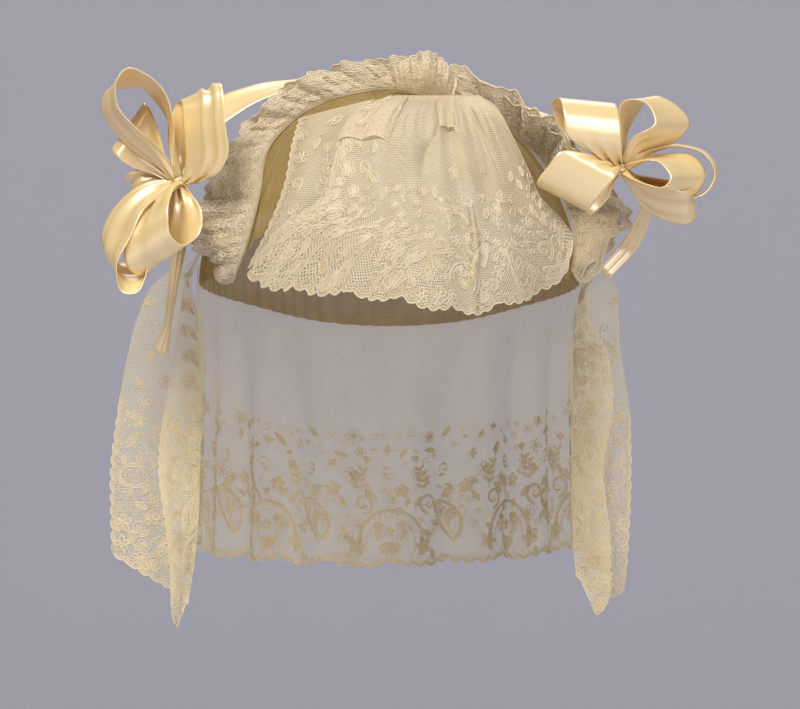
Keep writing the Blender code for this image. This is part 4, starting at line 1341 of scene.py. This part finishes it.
# Bows: each loop's sections from the bow's middle and back to it, as the ribbon's middle and the
# vector across it
bowLeft = {
    "heart": (-86.0, -51.0, -43.0),
    # lengthways creases: how far across the ribbon, how deep and how wide
    "creases": {
        "upright": [(0.55, 1.1, 0.06), (0.68, -1.2, 0.07), (0.84, 1.0, 0.06)],
        "lowLeft": [(0.35, 0.8, 0.12), (0.7, -0.8, 0.12)],
        "lowFront": [(0.3, -0.7, 0.15)], "tall": [(0.5, 0.5, 0.2)],
    },
    "loops": {
        "tall": [
            (-2, -1, 13, -1, 14, 0), (-4, -1, 26, -4, 22, 3), (-9, -2, 36.5, -6, 22, -2),
            (-15, -4, 41.8, -3, 22, -5), (-21, -6, 42.6, -1, 22, -8), (-27, -7, 40, -4, 22, -3),
            (-28.6, -7, 32, -7, 22, -1.3), (-20.7, -6, 20, -6, 20, -5), (-11, -3, 11.6, -4, 14, -6),
        ],
        "upright": [
            (2, 3, 10, 12, -6, -2), (4, 2, 26, 17, -14, 3), (7.5, -2, 36.5, 17, -15, 7),
            (9.5, -10, 36, 17, -15, 6), (10.5, -14, 24, 17.5, -16, 0), (11.5, -13.5, 10, 17.5, -16, 0),
            (8.5, -9.5, 2, 13, -12, 1),
        ],
        "left": [
            (-8, 3, 7, 5, 0, 7), (-14, 5, 14, 11, 1, 15), (-20, 6, 21.5, 13.4, 1, 19.6),
            (-21.5, 9, 23.5, 13.4, 1, 19.6), (-19, 12, 20.5, 13.4, 1, 19.6), (-9, 9, 8, 5, 0, 7),
        ],
        "lowLeft": [
            (-10, -2, -2.5, -4, 12, 6), (-19, -4, -9, -9, 18, 5), (-25.5, -6, -21, -12, 19, 3),
            (-28, -7, -30, -6, 20, 7), (-24, -6, -38.5, -1, 18, 12), (-15, -4, -38.5, 3, 17, 13),
            (-9, -1, -29, 6, 16, 9), (-5, 2, -17, 3, 11, -3),
        ],
        "lowFront": [
            (-9, -12, -8, 13, -6, 9), (-13, -18, -20, 18.2, -9.4, 12.6), (-12, -17, -28, 18.2, -9.4, 12.6),
            (-7, -12, -32, 18.2, -9.4, 12.6), (-1, -8, -28, 18.2, -9.4, 12.6), (1, -6, -17, 17, -8, 11),
            (1, -5, -8, 9, -4, 6),
        ],
        "behind": [
            (-9, 7, 2, 4, 2, -8), (-17, 9, -1, 6, 3, -12), (-19, 14, -3, 6, 3, -12),
            (-13, 16.5, -2, 6, 3, -11), (-5, 11, -1, 3, 2, -7),
        ],
    },
}
bowRight = {
    "heart": (94.5, -60.0, -37.5),
    "creases": {"lowRight": [(0.4, 0.8, 0.15)], "large": [(0.5, -0.5, 0.2)]},
    "loops": {
        "barrel": [
            (-6, -8, 5, 13, 3.5, -2), (-11, -14, 13, 22.5, 6, -2), (-12, -13, 22, 23, 6.5, -2),
            (-13.6, -7, 27.5, 23, 6.5, -2), (-16.4, 1, 25.5, 23, 6.5, -2), (-14.5, 5, 15, 20, 5, -3),
            (-6, 3, 7, 9, 2, -1),
        ],
        "lowLeft": [
            (-7, -9, 2, 13, 1.5, -6.5), (-13, -13, 1.5, 21, 3, -11), (-19, -12, -5, 21.5, 3, -11.5),
            (-23.5, -7, -11.5, 21.5, 3, -11.5), (-22, -1, -13, 21, 3, -11), (-13, 2, -7, 17, 3, -9),
            (-6, 1, -3, 8, 1, -4),
        ],
        "open": [
            (7.8, -2, 9.3, 5, 15, -6), (16, -1, 13, 11, 20, -5), (21.3, 0, 18.6, 14.8, 18.7, 0),
            (18, 1, 25.2, 12, 20, 1), (10.2, 2, 29, 7, 22, 2), (3.5, 3, 24, 6, 20, -6),
            (0.5, 3, 11, 3, 12, -3),
        ],
        "large": [
            (13.5, -2, 4.5, 4, 20, 3), (23, -3, 3.6, 13, 19, 4), (27.5, -4, -3.3, 15, 18, 1.3),
            (24.3, -4, -9, 13, 19, -3.3), (13.1, -3, -9.5, 5, 20, -6), (5.5, -2, -6, 2, 13, -5),
        ],
        "arc": [
            (12, 9, 7, 2, 13, 1), (26, 13, 9.6, 2, 19, 1), (36, 14, 6, 2, 20, 1), (39.7, 14, -1.5, 2, 20, 1),
            (36, 13, -9, 2, 20, 1), (24, 12, -11, 2, 19, 1), (10, 8, -6, 2, 13, 1),
        ],
        "lowRight": [
            (8, 4, -10, 4, 13, -11), (19, 4, -15, 3, 17, -13), (28, 6, -15.5, 2, 17, -13),
            (31, 10, -12.5, 2, 17, -12), (25, 13, -10, 3, 17, -10), (9, 9, -5, 3, 12, -6),
        ],
    },
}
bowRibbon = {
    "pinch": 5.0, "columns": 80, "rows": 20, "pleat": 2.0,
    "knotRadius": 3.0, "knotColumns": 48, "knotRows": 16,
}


def loopTable(sections):
    rows = np.array(sections, float)
    pinched = [
        np.concatenate([unitRows(row[:3]) * bowRibbon["pinch"] / 2, unitRows(row[3:]) * bowRibbon["pinch"]])
        for row in (rows[0], rows[-1])
    ]
    rows = np.vstack([pinched[0], rows, pinched[1]])
    steps = np.linalg.norm(np.diff(rows[:, :3], axis=0), axis=1)
    at = np.concatenate([[0.0], np.cumsum(steps)]) / steps.sum()
    return np.column_stack([at, rows])


def makeBow(name, bow, node):
    s = bowRibbon
    allPoints, allFlat, allFaces = [], [], []
    first, start = 0, 0.0
    for loop, sections in bow["loops"].items():
        creases = bow["creases"].get(loop, [])
        points, flat = ribbonPoints(loopTable(sections), s["columns"], s["rows"], s["pleat"], creases)
        allPoints.append(points)
        allFlat.append(flat + [start, 0])
        allFaces.append(gridFaces(s["columns"], s["rows"]) + first)
        first += len(points)
        start += flat[:, 0].max()
    # the middle: a band of ribbon drawn tight into pleats round all the loops
    around, side = gridShares(s["knotColumns"], s["knotRows"])
    polar = np.radians(20 + 140 * side)
    bulge = s["knotRadius"] + 0.5 * wave(side, 4)
    turn = 2 * math.pi * around
    way = np.stack([np.sin(polar) * np.sin(turn), -np.sin(polar) * np.cos(turn), np.cos(polar)], axis=-1)
    allPoints.append(way * bulge[:, None])
    allFlat.append(np.stack([start + around * 40, side * ribbon["width"]], axis=-1))
    allFaces.append(gridFaces(s["knotColumns"], s["knotRows"]) + first)
    points = np.vstack(allPoints) + np.array(bow["heart"])
    piece = ribbonPiece(name, points, np.vstack(allFaces), np.vstack(allFlat), node)
    print(name, triangles(piece), "triangles, ribbon", round(start), "mm")


makeBow("bowLeft", bowLeft, "bow_left")
makeBow("bowRight", bowRight, "bow_right")

# Stage: a pale grey floor that curves up into a wall all round, soft lights and the camera
stage = {
    "floorHeight": -0.75, "floorRadius": 6.0, "bend": 2.0, "wallTop": 9.0, "grey": "#C4C3CE", "turns": 64,
}


def makeCove(s):
    radius, turns = s["floorRadius"], s["turns"]
    profile = [(0.0, s["floorHeight"]), (radius, s["floorHeight"])]
    for turn in np.linspace(0, math.pi / 2, 13)[1:]:
        up = s["bend"] * (1 - math.cos(turn))
        profile.append((radius + s["bend"] * math.sin(turn), s["floorHeight"] + up))
    profile.append((radius + s["bend"], s["wallTop"]))
    ways = [(math.cos(2 * math.pi * k / turns), math.sin(2 * math.pi * k / turns)) for k in range(turns)]
    points = [(r * x, r * y, z) for r, z in profile for x, y in ways]
    faces = [
        (i * turns + k, (i + 1) * turns + k, (i + 1) * turns + (k + 1) % turns, i * turns + (k + 1) % turns)
        for i in range(len(profile) - 1) for k in range(turns)
    ]
    mesh = bpy.data.meshes.new("cove")
    mesh.from_pydata(points, [], faces)
    mesh.shade_smooth()
    cove = bpy.data.objects.new("cove", mesh)
    bpy.context.scene.collection.objects.link(cove)
    material, tree = newMaterial("paintedBoard")  # matt paint, even and pale
    paint = addNode(tree, "ShaderNodeBsdfPrincipled", {
        "Base Color": linearColour(s["grey"]), "Roughness": 0.9,
    })
    addNode(tree, "ShaderNodeOutputMaterial", {0: paint})
    mesh.materials.append(material)


makeCove(stage)


def softLight(name, place, size, power, colour="#FFFFFF", aim=(0.0, -0.04, -0.08)):
    data = bpy.data.lights.new(name, "AREA")
    data.shape = "DISK"
    data.size = size
    data.energy = power
    data.color = linearColour(colour)[:3]
    lamp = bpy.data.objects.new(name, data)
    bpy.context.scene.collection.objects.link(lamp)
    lamp.location = place
    away = np.array(place) - np.array(aim)
    tilt = math.acos(away[2] / np.linalg.norm(away))
    lamp.rotation_euler = (tilt, 0, math.atan2(away[1], away[0]) + math.pi / 2)


softLight("keyLight", (-1.1, -2.3, 2.4), 1.5, 134, "#FFFCF8")
softLight("fillLight", (2.2, -2.6, 1.1), 2.2, 70, "#FAF9FF")
softLight("topLight", (0.1, 1.2, 2.2), 1.2, 30)
softLight("wallLight", (0.0, 2.5, 2.5), 3.0, 88, "#FFFDF6", aim=(0.0, 8.0, 0.5))
world = bpy.data.worlds.new("studio")
world.use_nodes = True
world.node_tree.nodes["Background"].inputs[0].default_value = linearColour("#DADBE2")
world.node_tree.nodes["Background"].inputs[1].default_value = 0.36
bpy.context.scene.world = world

camera = bpy.data.objects.new("camera", bpy.data.cameras.new("camera"))
camera.location = (0.0045, -3.25, -0.1134)
camera.rotation_euler = (math.pi / 2, 0, 0)
camera.data.lens = 351.2
camera.data.sensor_width = 36
camera.data.clip_end = 50
bpy.context.scene.collection.objects.link(camera)
bpy.context.scene.camera = camera
bpy.context.scene.view_settings.view_transform = "Standard"
bpy.context.scene.cycles.transparent_max_bounces = 40
print("stage, lights and camera set")
